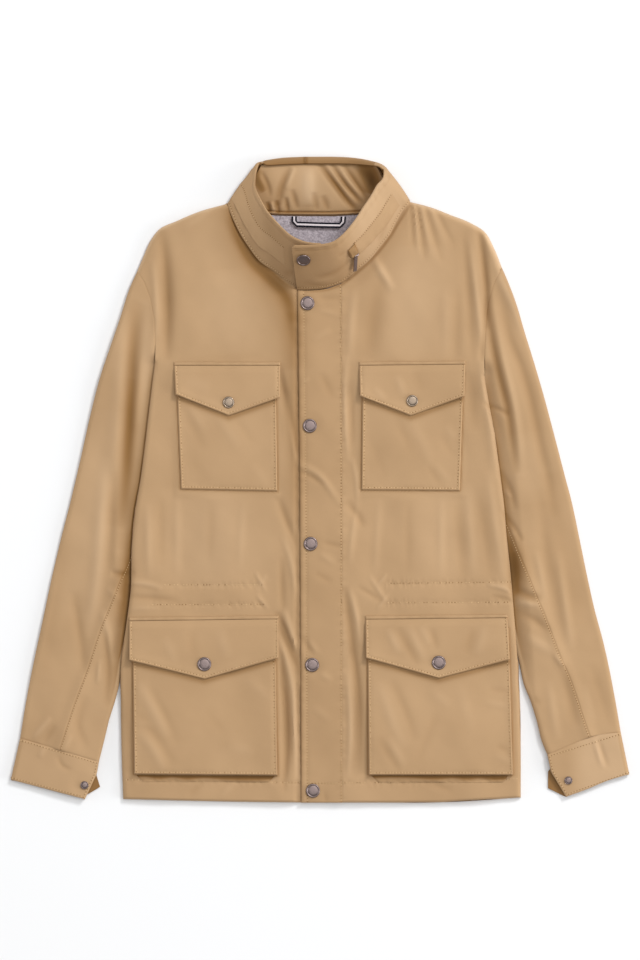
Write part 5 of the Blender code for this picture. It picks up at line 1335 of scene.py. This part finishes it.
def forearm_seam(side):
    """The seam on top of the forearm, as a line in plan."""
    down, samples, grid, _width = sleeve_plan(side)
    return read_rows(grid, samples, forearm_share(side, down)[:, None])[down > 0.3, 0]


def sleeve(side):
    """A flattened two-piece sleeve from the armhole to the cuff seam."""
    plan = sleeve_plan(side)
    seam = forearm_share(side, plan[0])
    under_end = np.full(len(plan[0]), BACK_SEAM_SHARE)
    top = tube_strip("cloth_sleeve_top_" + side, plan, (seam, 1, under_end), side, (44, 10))
    under = tube_strip("cloth_sleeve_under_" + side, plan, (seam, 0, under_end), side, (26, 8))
    cloth_piece(top, "sleeve_top_" + side)
    cloth_piece(under, "sleeve_under_" + side)


def cuff(side):
    """A cuff band: over the top from its slanted end, round the outer edge, and back to its tab."""
    seam_line, hem_line, slant = CUFF_SEAM[side], CUFF_HEM[side], CUFF_SLANT[side]
    edge = np.array((seam_line[-1], hem_line[-1]), float)
    down = graded(50.0, cell=2.0)
    samples = np.linspace(0, 1, 61)

    def layer(inner_end):
        start = rows_linear(np.array(inner_end, float), down * (len(inner_end) - 1))
        end = edge[0] + (edge[1] - edge[0]) * down[:, None]
        return coons(along(seam_line, samples), along(hem_line, samples), start, end, samples, down)

    upper, under = layer(slant), layer(CUFF_TAB[side])
    width = np.linalg.norm(np.diff(upper, axis=1), axis=2).sum(axis=1)
    near = 1 - EDGE_REACH / width
    top_places = read_rows(upper, samples, near[:, None] * graded(95.0, end=False, cell=2.2))
    edge_places = read_rows(upper, samples, 1 - edge_insets(width))
    beneath = near[:, None] * (1 - np.linspace(0, 1, 13)[1:])
    under_places = read_rows(under, samples, beneath)
    full = cuff_top(top_places) - bell(top_places, seam_line, *CUFF_DIP)
    rim = np.minimum(distance(top_places, hem_line), distance(top_places, slant))
    lowest = full - 1.6
    outer = tube_outside(top_places, lowest + (full - lowest) * rounding(rim, 1.5), edge_places, under_places)
    inner = outer + inward(outer, CUFF_CLOTH)
    inner[:, 0] = outer[:, 0] - (0, 0, CUFF_CLOTH)
    lying = -beneath.shape[1] - 1
    inner[:, lying:] = outer[:, lying:] + (0, 0, CUFF_CLOTH)
    # Painted shade and highlight of the folds and painted highlight on the cuff's top, and painted shade on
    # its underside
    painted_shading = np.zeros(outer.shape[:2])
    lit = LEFT_CUFF_SHADE if side == "left" else RIGHT_CUFF_SHADE * ease(top_places[..., 0], 312, 345)
    painted_shading[:, :top_places.shape[1]] = painted_fold_shading(top_places) + lit
    painted_shading[:, lying:] = UNDER_CUFF_SHADE
    made = wall("cloth_cuff_" + side, outer, inner, painted_shading=painted_shading)
    cloth_piece(made, "cuff_" + side)


def cuff_top(places):
    return relief(places) - SLEEVE_LEVEL + CUFF_LEVEL


# ------------------------------------------------------------------ pockets

def patch_grid(corners, across, up):
    """A grid in a four-cornered patch, rows from its lower to its upper edge."""
    top_left, top_right, low_right, low_left = (np.array(corner, float) for corner in corners)
    u, v = across[None, :, None], up[:, None, None]
    return (1 - v) * ((1 - u) * low_left + u * low_right) + v * ((1 - u) * top_left + u * top_right)


def ring_of(corners):
    return np.array(list(corners) + [corners[0]], float)


def pocket_stand(name, places):
    """How far a pocket stands up from the front: a bellows pocket more towards its bottom."""
    corners, rise = POCKETS[name]
    down = corners[0][1] - places[..., 1]
    share = down / (corners[0][1] - corners[3][1])
    full = rise if rise < 4 else rise * (0.5 + 0.5 * ease(share, 0.25, 0.8))
    return full * (0.45 + 0.55 * ease(down, -10, 32))


def pocket_top(places, name):
    corners = POCKETS[name][0]
    floor = relief(places) + REST
    depth = distance(places, ring_of(corners))
    edge = [(ring_of(corners), 0.0, *POCKET_PUCKERS)]
    stand = pocket_stand(name, places)
    full = stand + 0.6 * strokes(places, POCKET_FOLDS[name]) * ease(depth, 0, 6)
    full = full + 0.8 * undulation(places, 1.0 + len(name)) * ease(depth, 0, 8)
    full = beaded(full, depth, POCKET_BEADS)
    full = full + seam_marks(places, edge) * ease(depth, 0.5, 4.0)
    full = np.maximum(full, 0.9)
    return floor + 0.5 + (full - 0.5) * rounding(depth, 2.0), floor


def pocket(name):
    """A pocket: its cloth stands up from the front and comes down to it round the edge."""
    corners = POCKETS[name][0]
    wide, high = corners[1][0] - corners[0][0], corners[0][1] - corners[3][1]
    places = patch_grid(corners, graded(wide), graded(high))
    upper, floor = pocket_top(places, name)
    _top_left, _top_right, right, tip, left = flap_parts(name)
    # Painted shadow under the flap's lower edges, and painted shade and highlight of the pocket's folds
    below = np.array((0.0, -2.5))
    shade = bell(places, (left + below, tip + below, right + below), *FLAP_SHADE)
    painted_shading = shade + np.clip(-0.6 * FOLD_SHADE * strokes(places, POCKET_FOLDS[name]), -0.1, 0.5)
    made = lay("cloth_pocket_" + name, places, upper, floor, POCKET_CLOTH, painted_shading=painted_shading)
    return cloth_piece(made, "pocket_" + name)


def flap_parts(name):
    return [np.array(point, float) for point in FLAPS[name]]


def flap_floor(places, name):
    """Underside of a flap: on the front at its seam, over the pocket below, its lower corners a little up."""
    top_left, top_right, right, tip, left = flap_parts(name)
    drop = distance(places, (top_left, top_right))
    floor = relief(places) + REST + (pocket_stand(name, places) + 0.4) * ease(drop, 0.0, 9.0)
    floor = floor + bell(places, (left, tip, right), *FLAP_EDGE_LIFT)
    rise, reach = FLAP_CORNER_LIFT
    for corner in (left, right):
        floor = floor + rise * np.exp(-(np.linalg.norm(places - corner, axis=-1) / reach) ** 2)
    return floor


def flap_top(places, name):
    top_left, top_right, right, tip, left = flap_parts(name)
    floor = flap_floor(places, name)
    rim = np.array((top_left, left, tip, right, top_right))
    depth = distance(places, rim)
    full = POCKET_CLOTH + 0.7 * strokes(places, FLAP_FOLDS[name]) * ease(depth, 0, 6)
    full = full + 0.5 * undulation(places, 3.0 + len(name))
    full = beaded(full, depth, FLAP_BEADS)
    full = full + seam_marks(places, [(rim, 0.0, *FLAP_PUCKERS)]) * ease(depth, 0.5, 3.0)
    top_edge = distance(places, (top_left, top_right))
    return floor + 0.4 + (full - 0.4) * rounding(np.minimum(depth, top_edge + 0.6), 1.6), floor


def flap(name):
    """A pointed flap over the pocket's mouth, sewn to the front along its top."""
    top_left, top_right, right, tip, left = flap_parts(name)
    wide = top_right[0] - top_left[0]
    tip_share = (tip[0] - left[0]) / (right[0] - left[0])
    first = graded(wide * tip_share, end=False) * tip_share
    second = tip_share + graded(wide * (1 - tip_share), start=False) * (1 - tip_share)
    across = np.concatenate((first, second[1:]))
    up = graded(60.0, cell=2.2)
    lower = np.where((across <= tip_share)[:, None], left + (tip - left) * (across / tip_share)[:, None],
                     tip + (right - tip) * ((across - tip_share) / (1 - tip_share))[:, None])
    upper = top_left + (top_right - top_left) * across[:, None]
    places = lower[None] + (upper - lower)[None] * up[:, None, None]
    top, floor = flap_top(places, name)
    # Painted shade and highlight of the flap's folds
    painted_shading = np.clip(-FOLD_SHADE * strokes(places, FLAP_FOLDS[name]), -0.1, 0.5)
    made = lay("cloth_flap_" + name, places, top, floor, POCKET_CLOTH, painted_shading=painted_shading)
    return cloth_piece(made, "flap_" + name)


def welt(name):
    """The narrow welt above a flap."""
    top_left, top_right = flap_parts(name)[:2]
    lift, up = np.array((0.0, REST)), np.array((0, WELT_HEIGHT))
    corners = (top_left + up + lift, top_right + up + lift, top_right + lift, top_left + lift)
    wide = top_right[0] - top_left[0]
    places = patch_grid(corners, graded(wide), np.linspace(0, 1, 13))
    floor = relief(places) + REST
    wave = 0.25 * np.sin(places[..., 0] / 3.1 + 1.7 * np.sin(places[..., 0] / 17))
    top = floor + 0.4 + (WELT_RISE + wave - 0.4) * rounding(distance(places, ring_of(corners)), 1.5)
    made = lay("cloth_welt_" + name, places, top, floor, POCKET_CLOTH)
    return cloth_piece(made, "welt_" + name)


def gusset(name):
    """The bellows fold that shows below a lower pocket."""
    corners = GUSSETS[name]
    places = patch_grid(corners, graded(corners[1][0] - corners[0][0]), np.linspace(0, 1, 12))
    floor = relief(places) + REST
    depth = distance(places, ring_of(corners)[[0, 3, 2, 1]])
    wave = 0.7 * np.sin(places[..., 0] / 9 + 2.1 * np.sin(places[..., 0] / 31))
    top = floor + 0.4 + 0.5 * (1.4 + wave) * rounding(depth, 4.0)
    # Painted shadow of the pocket's bottom, darkest along the gusset's upper edge and unevenly wide
    upper_edge = distance(places, corners[:2])
    reach = 2.6 + 1.6 * wave + 0.012 * (places[..., 0] - corners[0][0])
    painted_shading = 0.25 * np.exp(-(upper_edge / 7) ** 2) + 0.6 * np.exp(-(upper_edge / reach) ** 2)
    made = lay("cloth_gusset_" + name, places, top, floor, POCKET_CLOTH, painted_shading=painted_shading)
    return cloth_piece(made, "gusset_" + name)


# ------------------------------------------------------------------ collar

def collar_frames(side, places):
    """Seam point, direction up the collar, outward normal, length, roll, front share at each place."""
    table = COLLAR[side]
    places = np.asarray(places, float)

    def edges(at):
        rows = rows_at(table, at)
        share = np.clip(rows[:, 2], 0, 1)
        low = np.column_stack((rows[:, 0], rows[:, 1], share * seam_level(rows[:, :2])))
        return rows, share, low, np.maximum(rows[:, 3:6], (-np.inf, -np.inf, 0))

    rows, share, seam, top = edges(places)
    length = np.linalg.norm(top - seam, axis=1)
    direction = (top - seam) / length[:, None]
    before, after = edges(np.maximum(places - 0.1, 0)), edges(np.minimum(places + 0.1, len(table) - 1))
    run = after[2] + after[3] - before[2] - before[3]
    normal = np.cross(run, direction) * (1 if side == "left" else -1)
    normal /= np.linalg.norm(normal, axis=1)[:, None]
    seam = seam - normal * rows[:, 7][:, None]
    return seam, direction, normal, length, np.maximum(rows[:, 6], 20), share


def seam_level(places):
    """Height of the front under the collar's seam, without the small folds."""
    x, y = places[..., 0], places[..., 1]
    return swollen(np.full(x.shape, FRONT_LEVEL), x, y) - COLLAR_SINK


def collar_arc(side, places):
    """How far along the collar each place lies, mm."""
    fine = np.linspace(0, len(COLLAR[side]) - 1, 200)
    rows = rows_at(COLLAR[side], fine)
    middle = np.column_stack(((rows[:, 0] + rows[:, 3]) / 2, (rows[:, 1] + rows[:, 4]) / 2, rows[:, 5] / 2))
    travelled = np.concatenate(([0.0], np.cumsum(np.linalg.norm(np.diff(middle, axis=0), axis=1))))
    return np.interp(places, fine, travelled)


def collar_relief(side, arc, height, length):
    """Small relief of the outer collar: creases, and the stitched lines along its edges."""
    places = np.stack(np.broadcast_arrays(arc, height), axis=-1)
    table = []
    for where, width, rise, line in COLLAR_CREASES:
        if where == side:
            table.append((width, rise, 0, [(float(collar_arc(side, place)), up) for place, up in line]))
    total = strokes(places, table) + 0.45 * undulation(places, 5.0 if side == "left" else 7.0)
    total = beaded(beaded(total, height, COLLAR_FOOT_BEADS), length - height, COLLAR_EDGE_BEADS)
    wave = np.sin(arc / 2.3 + 2 * np.sin(arc / 13)) * 0.22
    return total + wave * np.exp(-((length - height) / 9.0) ** 2)


def rolled(heights, outs, length, turn, radius):
    """One face of a collar section: up the stand, round the roll and along its lip."""
    angles = np.linspace(0, turn, 11)[1:]
    lip = ROLL_LIP * math.sin(turn / 2)
    face = list(zip(heights, outs))
    face += [(length + radius * math.sin(angle), radius * math.cos(angle) - ROLL_RADIUS) for angle in angles]
    return face + [(face[-1][0] + lip * math.cos(turn), face[-1][1] - lip * math.sin(turn))]


def collar_shade(side, place, arc, small, rolled_flat, outer_count, count):
    """Painted shade along a collar section, in its creases and roll, on the tab and on the inner face, with
    painted highlight where it is below 0; and a dark line at the centre seam.
    """
    fold = np.pad(np.clip(-0.12 * small, 0, 0.3), (0, count - len(small)))
    tab = 0.05 if side == "left" else 0.25 * ease(place, 10.6, 13.0) - 0.14 * ease(place, 5, 8)
    dark, width = CENTRE_SEAM
    fold = fold + tab + dark * math.exp(-(arc / width) ** 2)
    fold[outer_count:] += 0.6 * (ease(place, 2.0, 3.2) - ease(place, 5.0, 7.5))
    roll = np.interp(np.arange(count), outer_count - np.array((7, 5, 0)), (0, 0.26, 0.42))
    return np.clip((roll if rolled_flat else 0) + fold, -0.5, 1)


def outer_collar(side):
    """Half of the outer collar, from the centre back seam to its front end."""
    last = len(COLLAR[side]) - 1
    by_end = last - np.array((0.02, 0.05, 0.08))
    places = np.unique(np.concatenate((np.linspace(0, last, 8 * last + 1), by_end)))
    seams, directions, normals, lengths, rolls, shares = collar_frames(side, places)
    arcs = collar_arc(side, places)
    sections, coordinates, shade = [], [], []
    for index, place in enumerate(places):
        length, turn = lengths[index], math.radians(rolls[index])
        from_end = arcs[-1] - arcs[index]
        if side == "right" and from_end < TAB_CORNER:
            length -= TAB_CORNER - math.sqrt(max(TAB_CORNER**2 - (TAB_CORNER - from_end) ** 2, 0))
        heights = np.concatenate((COLLAR_FOOT_ROWS, np.linspace(9.5, length - 8, 16),
                                  length - np.array(COLLAR_EDGE_ROWS)))
        bow = COLLAR_BOW * shares[index] * np.sin(np.pi * heights / length)
        small = collar_relief(side, arcs[index], heights, length)
        outer_side = rolled(heights, bow + small, length, turn, ROLL_RADIUS)
        inner_side = rolled(heights, bow - COLLAR_CLOTH, length, turn, ROLL_RADIUS - COLLAR_CLOTH)
        tip = (np.array(outer_side[-1]) + np.array(inner_side[-1])) / 2
        tip = tip + np.array((math.cos(turn), -math.sin(turn))) * 0.9
        profile = np.array(outer_side + [tuple(tip)] + inner_side[::-1])
        sections.append(seams[index] + profile[:, :1] * directions[index] + profile[:, 1:] * normals[index])
        coordinates.append(np.column_stack((np.full(len(profile), arcs[index]), profile[:, 0])))
        shade.append(collar_shade(side, place, arcs[index], small, turn > 1.9, len(outer_side), len(profile)))
    made = loft("cloth_collar_outer_" + side, np.array(sections), np.array(coordinates), "cloth",
                painted_shading=np.array(shade))
    return cloth_piece(made, "collar_outer_" + side)


def loft(name, sections, coordinates, paint_name, painted_shading=None):
    """A closed body through closed sections of equal point counts, with flat ends."""
    rows, columns = sections.shape[:2]
    faces = [list(range(columns - 1, -1, -1)), list(range((rows - 1) * columns, rows * columns))]
    for row in range(rows - 1):
        for column in range(columns):
            beside = (column + 1) % columns
            faces.append([row * columns + column, row * columns + beside, (row + 1) * columns + beside,
                          (row + 1) * columns + column])
    return piece_mesh(name, sections.reshape(-1, 3), faces, coordinates.reshape(-1, 2), paint_name,
                      painted_shading=painted_shading)


def inner_collar():
    """The padded inner collar, with its strong diagonal folds."""
    left = collar_frames("left", np.linspace(INNER_REACH["left"], 0, 70))
    right = collar_frames("right", np.linspace(0, INNER_REACH["right"], 90))
    seam, direction, normal, length = (np.concatenate((a, b[1:])) for a, b in zip(left[:4], right[:4]))
    ups = graded(66.0, cell=1.2)
    ends = np.sin(np.linspace(0, np.pi, len(seam))) ** 0.25
    heights = 0.4 + ups[None] * (length[:, None] - 1.6)
    base = seam[:, None] + heights[..., None] * direction[:, None] - (COLLAR_CLOTH + REST) * normal[:, None]
    middle, edge = INNER_PAD
    pad = edge + (middle - edge) * np.sin(np.pi * ups)[None] ** 0.7 * ends[:, None]
    inside = ease(ups, 0, 0.09)[None] * ease(-ups, -1, -0.93)[None]
    plan = base[..., :2]
    folds = strokes(plan, INNER_FOLDS)
    pad = pad + (1.2 * folds + 0.4 * undulation(plan * 1.6, 9.0)) * inside
    pad = beaded(pad, heights, INNER_BEADS)
    pad = np.maximum(pad * rounding(heights - 0.4, 1.6), 0.3)
    face = base - pad[..., None] * normal[:, None]
    # Painted shade of the folds and inside the collar, painted highlight on ridges, and painted shade along
    # its seam
    painted_shading = np.clip(-0.15 * folds, -0.2, 0.55) + strokes(plan, INNER_SHADES, 0.4) - 0.01
    painted_shading = beaded(painted_shading, heights, INNER_SEAM_SHADE)
    made = wall("cloth_collar_inner", face, base, "satin", painted_shading=painted_shading)
    return cloth_piece(made, "collar_inner")


def on_collar(side, place, height, outwards):
    """A point on the collar's outer side, with the outward normal there."""
    seam, direction, normal, length, _roll, share = (value[0] for value in collar_frames(side, [place]))
    arc = collar_arc(side, place)
    small = collar_relief(side, arc, np.array([height]), length)[0]
    bow = COLLAR_BOW * share * math.sin(math.pi * min(height / length, 1))
    return seam + direction * height + normal * (bow + small + outwards), normal


def zip_welt(side):
    """The cloth strip over the hood's zip: stitched along its upper edge, folded at its lower one."""
    first, last, low, high = ZIP_WELTS[side]
    places = np.linspace(first, last, 60)
    arcs = collar_arc(side, places)
    up = graded(20.0, cell=1.6, close=(0.0, 0.3, 0.8, 1.6))
    lows, highs = np.interp(places, (first, last), low), np.interp(places, (first, last), high)
    ends = ease(arcs - arcs[0], 0, 16) * ease(arcs[-1] - arcs, 0, 16 if side == "left" else 0.5)
    outer, inner, coordinates = [], [], []
    for index, place in enumerate(places):
        heights = lows[index] + (highs[index] - lows[index]) * up
        rows = [on_collar(side, place, height, 0.0) for height in heights]
        wave = 0.25 * math.sin(arcs[index] / 3.1 + math.sin(arcs[index] / 11))
        above = heights - lows[index]
        lift = (WELT_CLOTH[side] + wave * np.exp(-(above / 8) ** 2)) * rounding(above + 0.3, 1.2)
        lift = REST + lift * (1 - 0.85 * ease(up, 0.2, 1.0)) * ends[index]
        inner.append([point - 0.3 * normal for point, normal in rows])
        outer.append([point + rise * normal for (point, normal), rise in zip(rows, lift)])
        coordinates.append(np.column_stack((np.full(len(heights), arcs[index]), heights)))
    made = wall("cloth_zip_welt_" + side, np.array(outer), np.array(inner), coordinates=np.array(coordinates))
    return cloth_piece(made, "zip_welt_" + side)


def zip_garage():
    """The welt's folded end, which covers the slider above the pull."""
    first, last, low, high = GARAGE
    places, ups = np.linspace(first, last, 22), graded(high - low, cell=0.8, close=(0.0, 0.3, 0.8))
    heights = low + (high - low) * ups
    arcs = collar_arc("right", places)
    sides = rounding(np.minimum(arcs - arcs[0], arcs[-1] - arcs), 2.2)
    rise = np.interp(ups, (0, 0.55, 1), (GARAGE_LIFT[0], 0.8 * GARAGE_LIFT[0], GARAGE_LIFT[1]))
    outer, inner = [], []
    for index, place in enumerate(places):
        rows = [on_collar("right", place, height, 0.0) for height in heights]
        lift = 0.4 + rise * sides[index]
        outer.append([point + lift[row] * normal for row, (point, normal) in enumerate(rows)])
        inner.append([point + (lift[row] - 0.9 * min(1, lift[row])) * normal
                      for row, (point, normal) in enumerate(rows)])
    coordinates = np.stack(np.broadcast_arrays(arcs[:, None], heights[None]), axis=-1)
    # Painted shade over the whole fold, darker at its first end
    painted_shading = 0.3 + 0.2 * np.exp(-((arcs[:, None] - arcs[0]) / 2) ** 2) * np.ones((len(places), len(heights)))
    made = wall("cloth_zip_garage", np.array(outer), np.array(inner), coordinates=coordinates, painted_shading=painted_shading)


def lining():
    made = slab("cloth_neck_lining", LINING_OUTLINE, BACK_TOP + REST, LINING_TOP, "jersey")
    return cloth_piece(made, "neck_lining")


def hanger_loop():
    """A striped ribbon that leaves the collar seam, turns two cut corners and comes back to it."""
    path = np.array(LOOP_PATH)
    run = np.gradient(path, axis=0)
    across = np.stack((-run[:, 1], run[:, 0]), axis=1)
    across /= np.linalg.norm(across, axis=1)[:, None]
    across[0], across[-1] = (1, 0), (-1, 0)
    half = LOOP_WIDTH / 2
    stripe = 0.34 * half
    offsets = np.array((-half, -stripe, -stripe + 0.01, stripe - 0.01, stripe, half))
    edges = path[:, None] + across[:, None] * offsets[None, :, None]
    steps = np.arange(13) / 2
    grid = np.stack([rows_linear(edges[:, column], steps) for column in range(len(offsets))], axis=1)
    lift = np.interp(steps, (0, 1, 3, 5, 6), (0.6, LOOP_LIFT, LOOP_LIFT + 0.8, LOOP_LIFT, 0.6))
    low = np.repeat((LINING_TOP + lift)[:, None], len(offsets), axis=1)
    coordinates = np.stack(np.broadcast_arrays((steps * LOOP_STEP)[:, None], offsets[None]), axis=-1)
    made = wall("cloth_hanger_loop", joined(grid, low + LOOP_CLOTH), joined(grid, low), "ribbon_black",
                coordinates)
    made.data.materials.append(MATERIALS["ribbon_white"])
    columns = len(offsets) - 1
    for face in made.data.polygons:
        if face.index < 2 * columns * (len(steps) - 1) and face.index % columns == WHITE_COLUMN:
            face.material_index = 1
    return cloth_piece(made, "hanger_loop")


def rows_linear(points, places):
    base = np.arange(len(points))
    return np.stack([np.interp(places, base, points[:, axis]) for axis in range(points.shape[1])], axis=1)


# ------------------------------------------------------------------ snaps and stitches

SNAP_SIDES = 40
SNAP_TIP = 0.02         # least radius
# Radius, as a share of the cap's, and height of each ring
SNAP_PROFILE = ((0.90, 0.0), (0.97, 0.5), (1.0, 1.1), (1.0, 1.6), (0.97, 2.15), (0.91, 2.5), (0.84, 2.55),
                (0.78, 2.35), (0.745, 1.95), (0.72, 1.8), (0.69, 1.86), (0.64, 2.0), (0.5, 2.12), (0.3, 2.2),
                (0.12, 2.22), (0.0, 2.22))


def snap(name, centre, up, size):
    """A snap cap: a raised rim round a shallow domed disc; the small ones are lower."""
    up = np.asarray(up, float) / np.linalg.norm(up)
    first = np.cross(up, (0.0, 1.0, 0.0))
    first /= np.linalg.norm(first)
    angles = np.arange(SNAP_SIDES) * 2 * math.pi / SNAP_SIDES
    spokes = np.cos(angles)[:, None] * first + np.sin(angles)[:, None] * np.cross(up, first)
    tall = 1.0 if size > 12 else 0.85
    sections = np.array([centre + up * (height * tall) + max(share * size / 2, SNAP_TIP) * spokes
                         for share, height in SNAP_PROFILE])
    made = loft("cap_" + name, sections, np.zeros(sections.shape[:2] + (2,)),
                "metal_light" if "chest" in name else "metal")
    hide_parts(name)


def snaps():
    for name, (x, y, kind) in SNAPS.items():
        place = np.array([[x, y]], float)
        height = placket_top(place)[0][0]
        if kind in ("chest", "lower"):
            height = flap_top(place, name.replace("snap_", ""))[0][0]
        elif kind == "cuff":
            height = cuff_top(place)[0]
        snap(name, np.array([x, y, height - REST]), (0, 0, 1), SNAP_SIZES[kind])
    point, normal = on_collar("right", *COLLAR_SNAP_AT, 0.0)
    snap("snap_collar", point, normal, SNAP_SIZES["placket"])


def inset_line(corners, inset):
    """A line that runs a little inside a convex row of corners."""
    row = np.asarray(corners, float)
    lines = []
    for start, end in zip(row[:-1], row[1:]):
        run = (end - start) / np.linalg.norm(end - start)
        normal = np.array((-run[1], run[0]))
        if (row.mean(axis=0) - start) @ normal < 0:
            normal = -normal
        lines.append((start + normal * inset, run))
    points = [lines[0][0]]
    for (start, run), (other, beside) in zip(lines[:-1], lines[1:]):
        share = np.linalg.solve(np.column_stack((run, -beside)), other - start)
        points.append(start + run * share[0])
    start, run = lines[-1]
    return np.array(points + [start + run * np.linalg.norm(row[-1] - row[-2])])


def stitching():
    """Thread along the panels' edges and seams."""
    for side in ("left", "right"):
        thread = Stitches()
        for line, *_sizes in SEAMS[1:]:
            middle = sum(point[0] for point in line) / len(line)
            if (middle < 0) == (side == "left"):
                thread.run(line, lambda spots: front_top(spots, side)[0])
        thread.finish("thread_front_" + side)
        thread = Stitches()
        offset = (FOREARM_THREAD_IN if side == "left" else -FOREARM_THREAD_IN, 0.0)
        thread.run(forearm_seam(side)[::4] + offset, lambda spots: sleeve_height(spots, side), *FINE_STITCH)
        ring = (CUFF_SEAM[side][-1], CUFF_SEAM[side][0], CUFF_SLANT[side][1], CUFF_HEM[side][0],
                CUFF_HEM[side][-1])
        thread.run(inset_line(ring, CUFF_THREAD_IN), cuff_top)
        thread.finish("thread_sleeve_" + side)
    thread = Stitches()
    for line in PLACKET_THREADS:
        thread.run(line, lambda spots: placket_top(spots)[0])
    thread.finish("thread_placket")
    for name in POCKETS:
        thread = Stitches()
        (top_left, top_right, low_right, low_left), _rise = POCKETS[name]
        ring = (top_left, low_left, low_right, top_right)
        thread.run(inset_line(ring, POCKET_THREAD_IN), lambda spots: pocket_top(spots, name)[0])
        top_left, top_right, right, tip, left = flap_parts(name)
        ring = (top_left, left, tip, right, top_right)
        thread.run(inset_line(ring, POCKET_THREAD_IN), lambda spots: flap_top(spots, name)[0])
        thread.finish("thread_pocket_" + name)
    pitch, length, width, height, lift = COLLAR_STITCH
    for side in ("left", "right"):
        thread = Stitches()
        first, last, _low, high = ZIP_WELTS[side]
        foot = (COLLAR_THREAD_UP, COLLAR_THREAD_UP), COLLAR_THREAD_FROM, COLLAR_THREAD_END[side]
        for heights, start, stop in (foot, ([edge + WELT_THREAD_UP for edge in high], first, last)):
            places = np.arange(start, stop, 0.01)
            arcs = collar_arc(side, places)
            for mark in np.arange(arcs[0], arcs[-1], pitch):
                at = [float(np.interp(mark + step, arcs, places)) for step in (0.0, length / 2, length)]
                spots = [on_collar(side, place, float(np.interp(place, (start, stop), heights)), lift)
                         for place in at]
                (start_at, _up), (middle, up), (end_at, _up) = spots
                thread.grain(start_at, middle, end_at, up, width, height)
        thread.finish("thread_collar_" + side)


# ------------------------------------------------------------------ stage

def stage():
    """White floor, soft light from the upper right, and the camera straight above."""
    plate = bpy.data.meshes.new("floor")
    turns = ((-1, -1), (1, -1), (1, 1), (-1, 1))
    plate.from_pydata([(x * FLOOR_HALF, y * FLOOR_HALF, FLOOR_Z) for x, y in turns], [], [(0, 1, 2, 3)])
    floor = bpy.data.objects.new("floor", plate)
    bpy.context.scene.collection.objects.link(floor)
    white = bpy.data.materials.new("floor_white")
    white.use_nodes = True
    shader = white.node_tree.nodes["Principled BSDF"]
    shader.inputs["Base Color"].default_value = (*FLOOR_WHITE, 1)
    shader.inputs["Roughness"].default_value = 0.9
    shader.inputs["Emission Color"].default_value = (1, 1, 1, 1)
    shader.inputs["Emission Strength"].default_value = FLOOR_GLOW
    plate.materials.append(white)

    scene = bpy.context.scene
    world = bpy.data.worlds.new("studio")
    scene.world = world
    world.use_nodes = True
    sky = world.node_tree.nodes["Background"]
    sky.inputs["Color"].default_value = (1.0, 1.0, 1.0, 1)
    sky.inputs["Strength"].default_value = SKY

    for name, (degrees_off, degrees_round, away, size, power) in LAMPS.items():
        off, turn = math.radians(degrees_off), math.radians(degrees_round)
        towards = (math.cos(turn) * math.sin(off), math.sin(turn) * math.sin(off), math.cos(off))
        place = np.array(towards) * away
        light = bpy.data.lights.new(name, "AREA")
        light.shape = "DISK"
        light.size = size
        light.energy = power
        made = bpy.data.objects.new(name, light)
        made.location = place
        made.rotation_euler = Vector(-place).to_track_quat("-Z", "Y").to_euler()
        made.visible_camera = False
        scene.collection.objects.link(made)

    scene.view_settings.view_transform = "Standard"
    camera = bpy.data.cameras.new("camera")
    camera.sensor_fit = "VERTICAL"
    camera.sensor_height = SENSOR
    camera.lens = LENS
    made = bpy.data.objects.new("camera", camera)
    away = PHOTO_HIGH * PIXEL * MM / 2 / (SENSOR / 2 / LENS)
    made.location = (0.0, (PHOTO_MIDDLE - PHOTO_HIGH / 2) * PIXEL * MM, CAMERA_LEVEL + away)
    camera.clip_end = 60.0
    scene.collection.objects.link(made)
    scene.camera = made


def build():
    make_paints()
    back()
    for side in ("left", "right"):
        front(side)
        sleeve(side)
        cuff(side)
        outer_collar(side)
        zip_welt(side)
    placket()
    for name in POCKETS:
        pocket(name)
        flap(name)
        welt(name)
    for name in GUSSETS:
        gusset(name)
    zip_garage()
    inner_collar()
    lining()
    hanger_loop()
    snaps()
    stitching()
    for name in ("zip_slider", "zip_pull"):
        bpy.data.objects[name].data.materials.clear()
        bpy.data.objects[name].data.materials.append(MATERIALS["metal"])
    stage()


build()
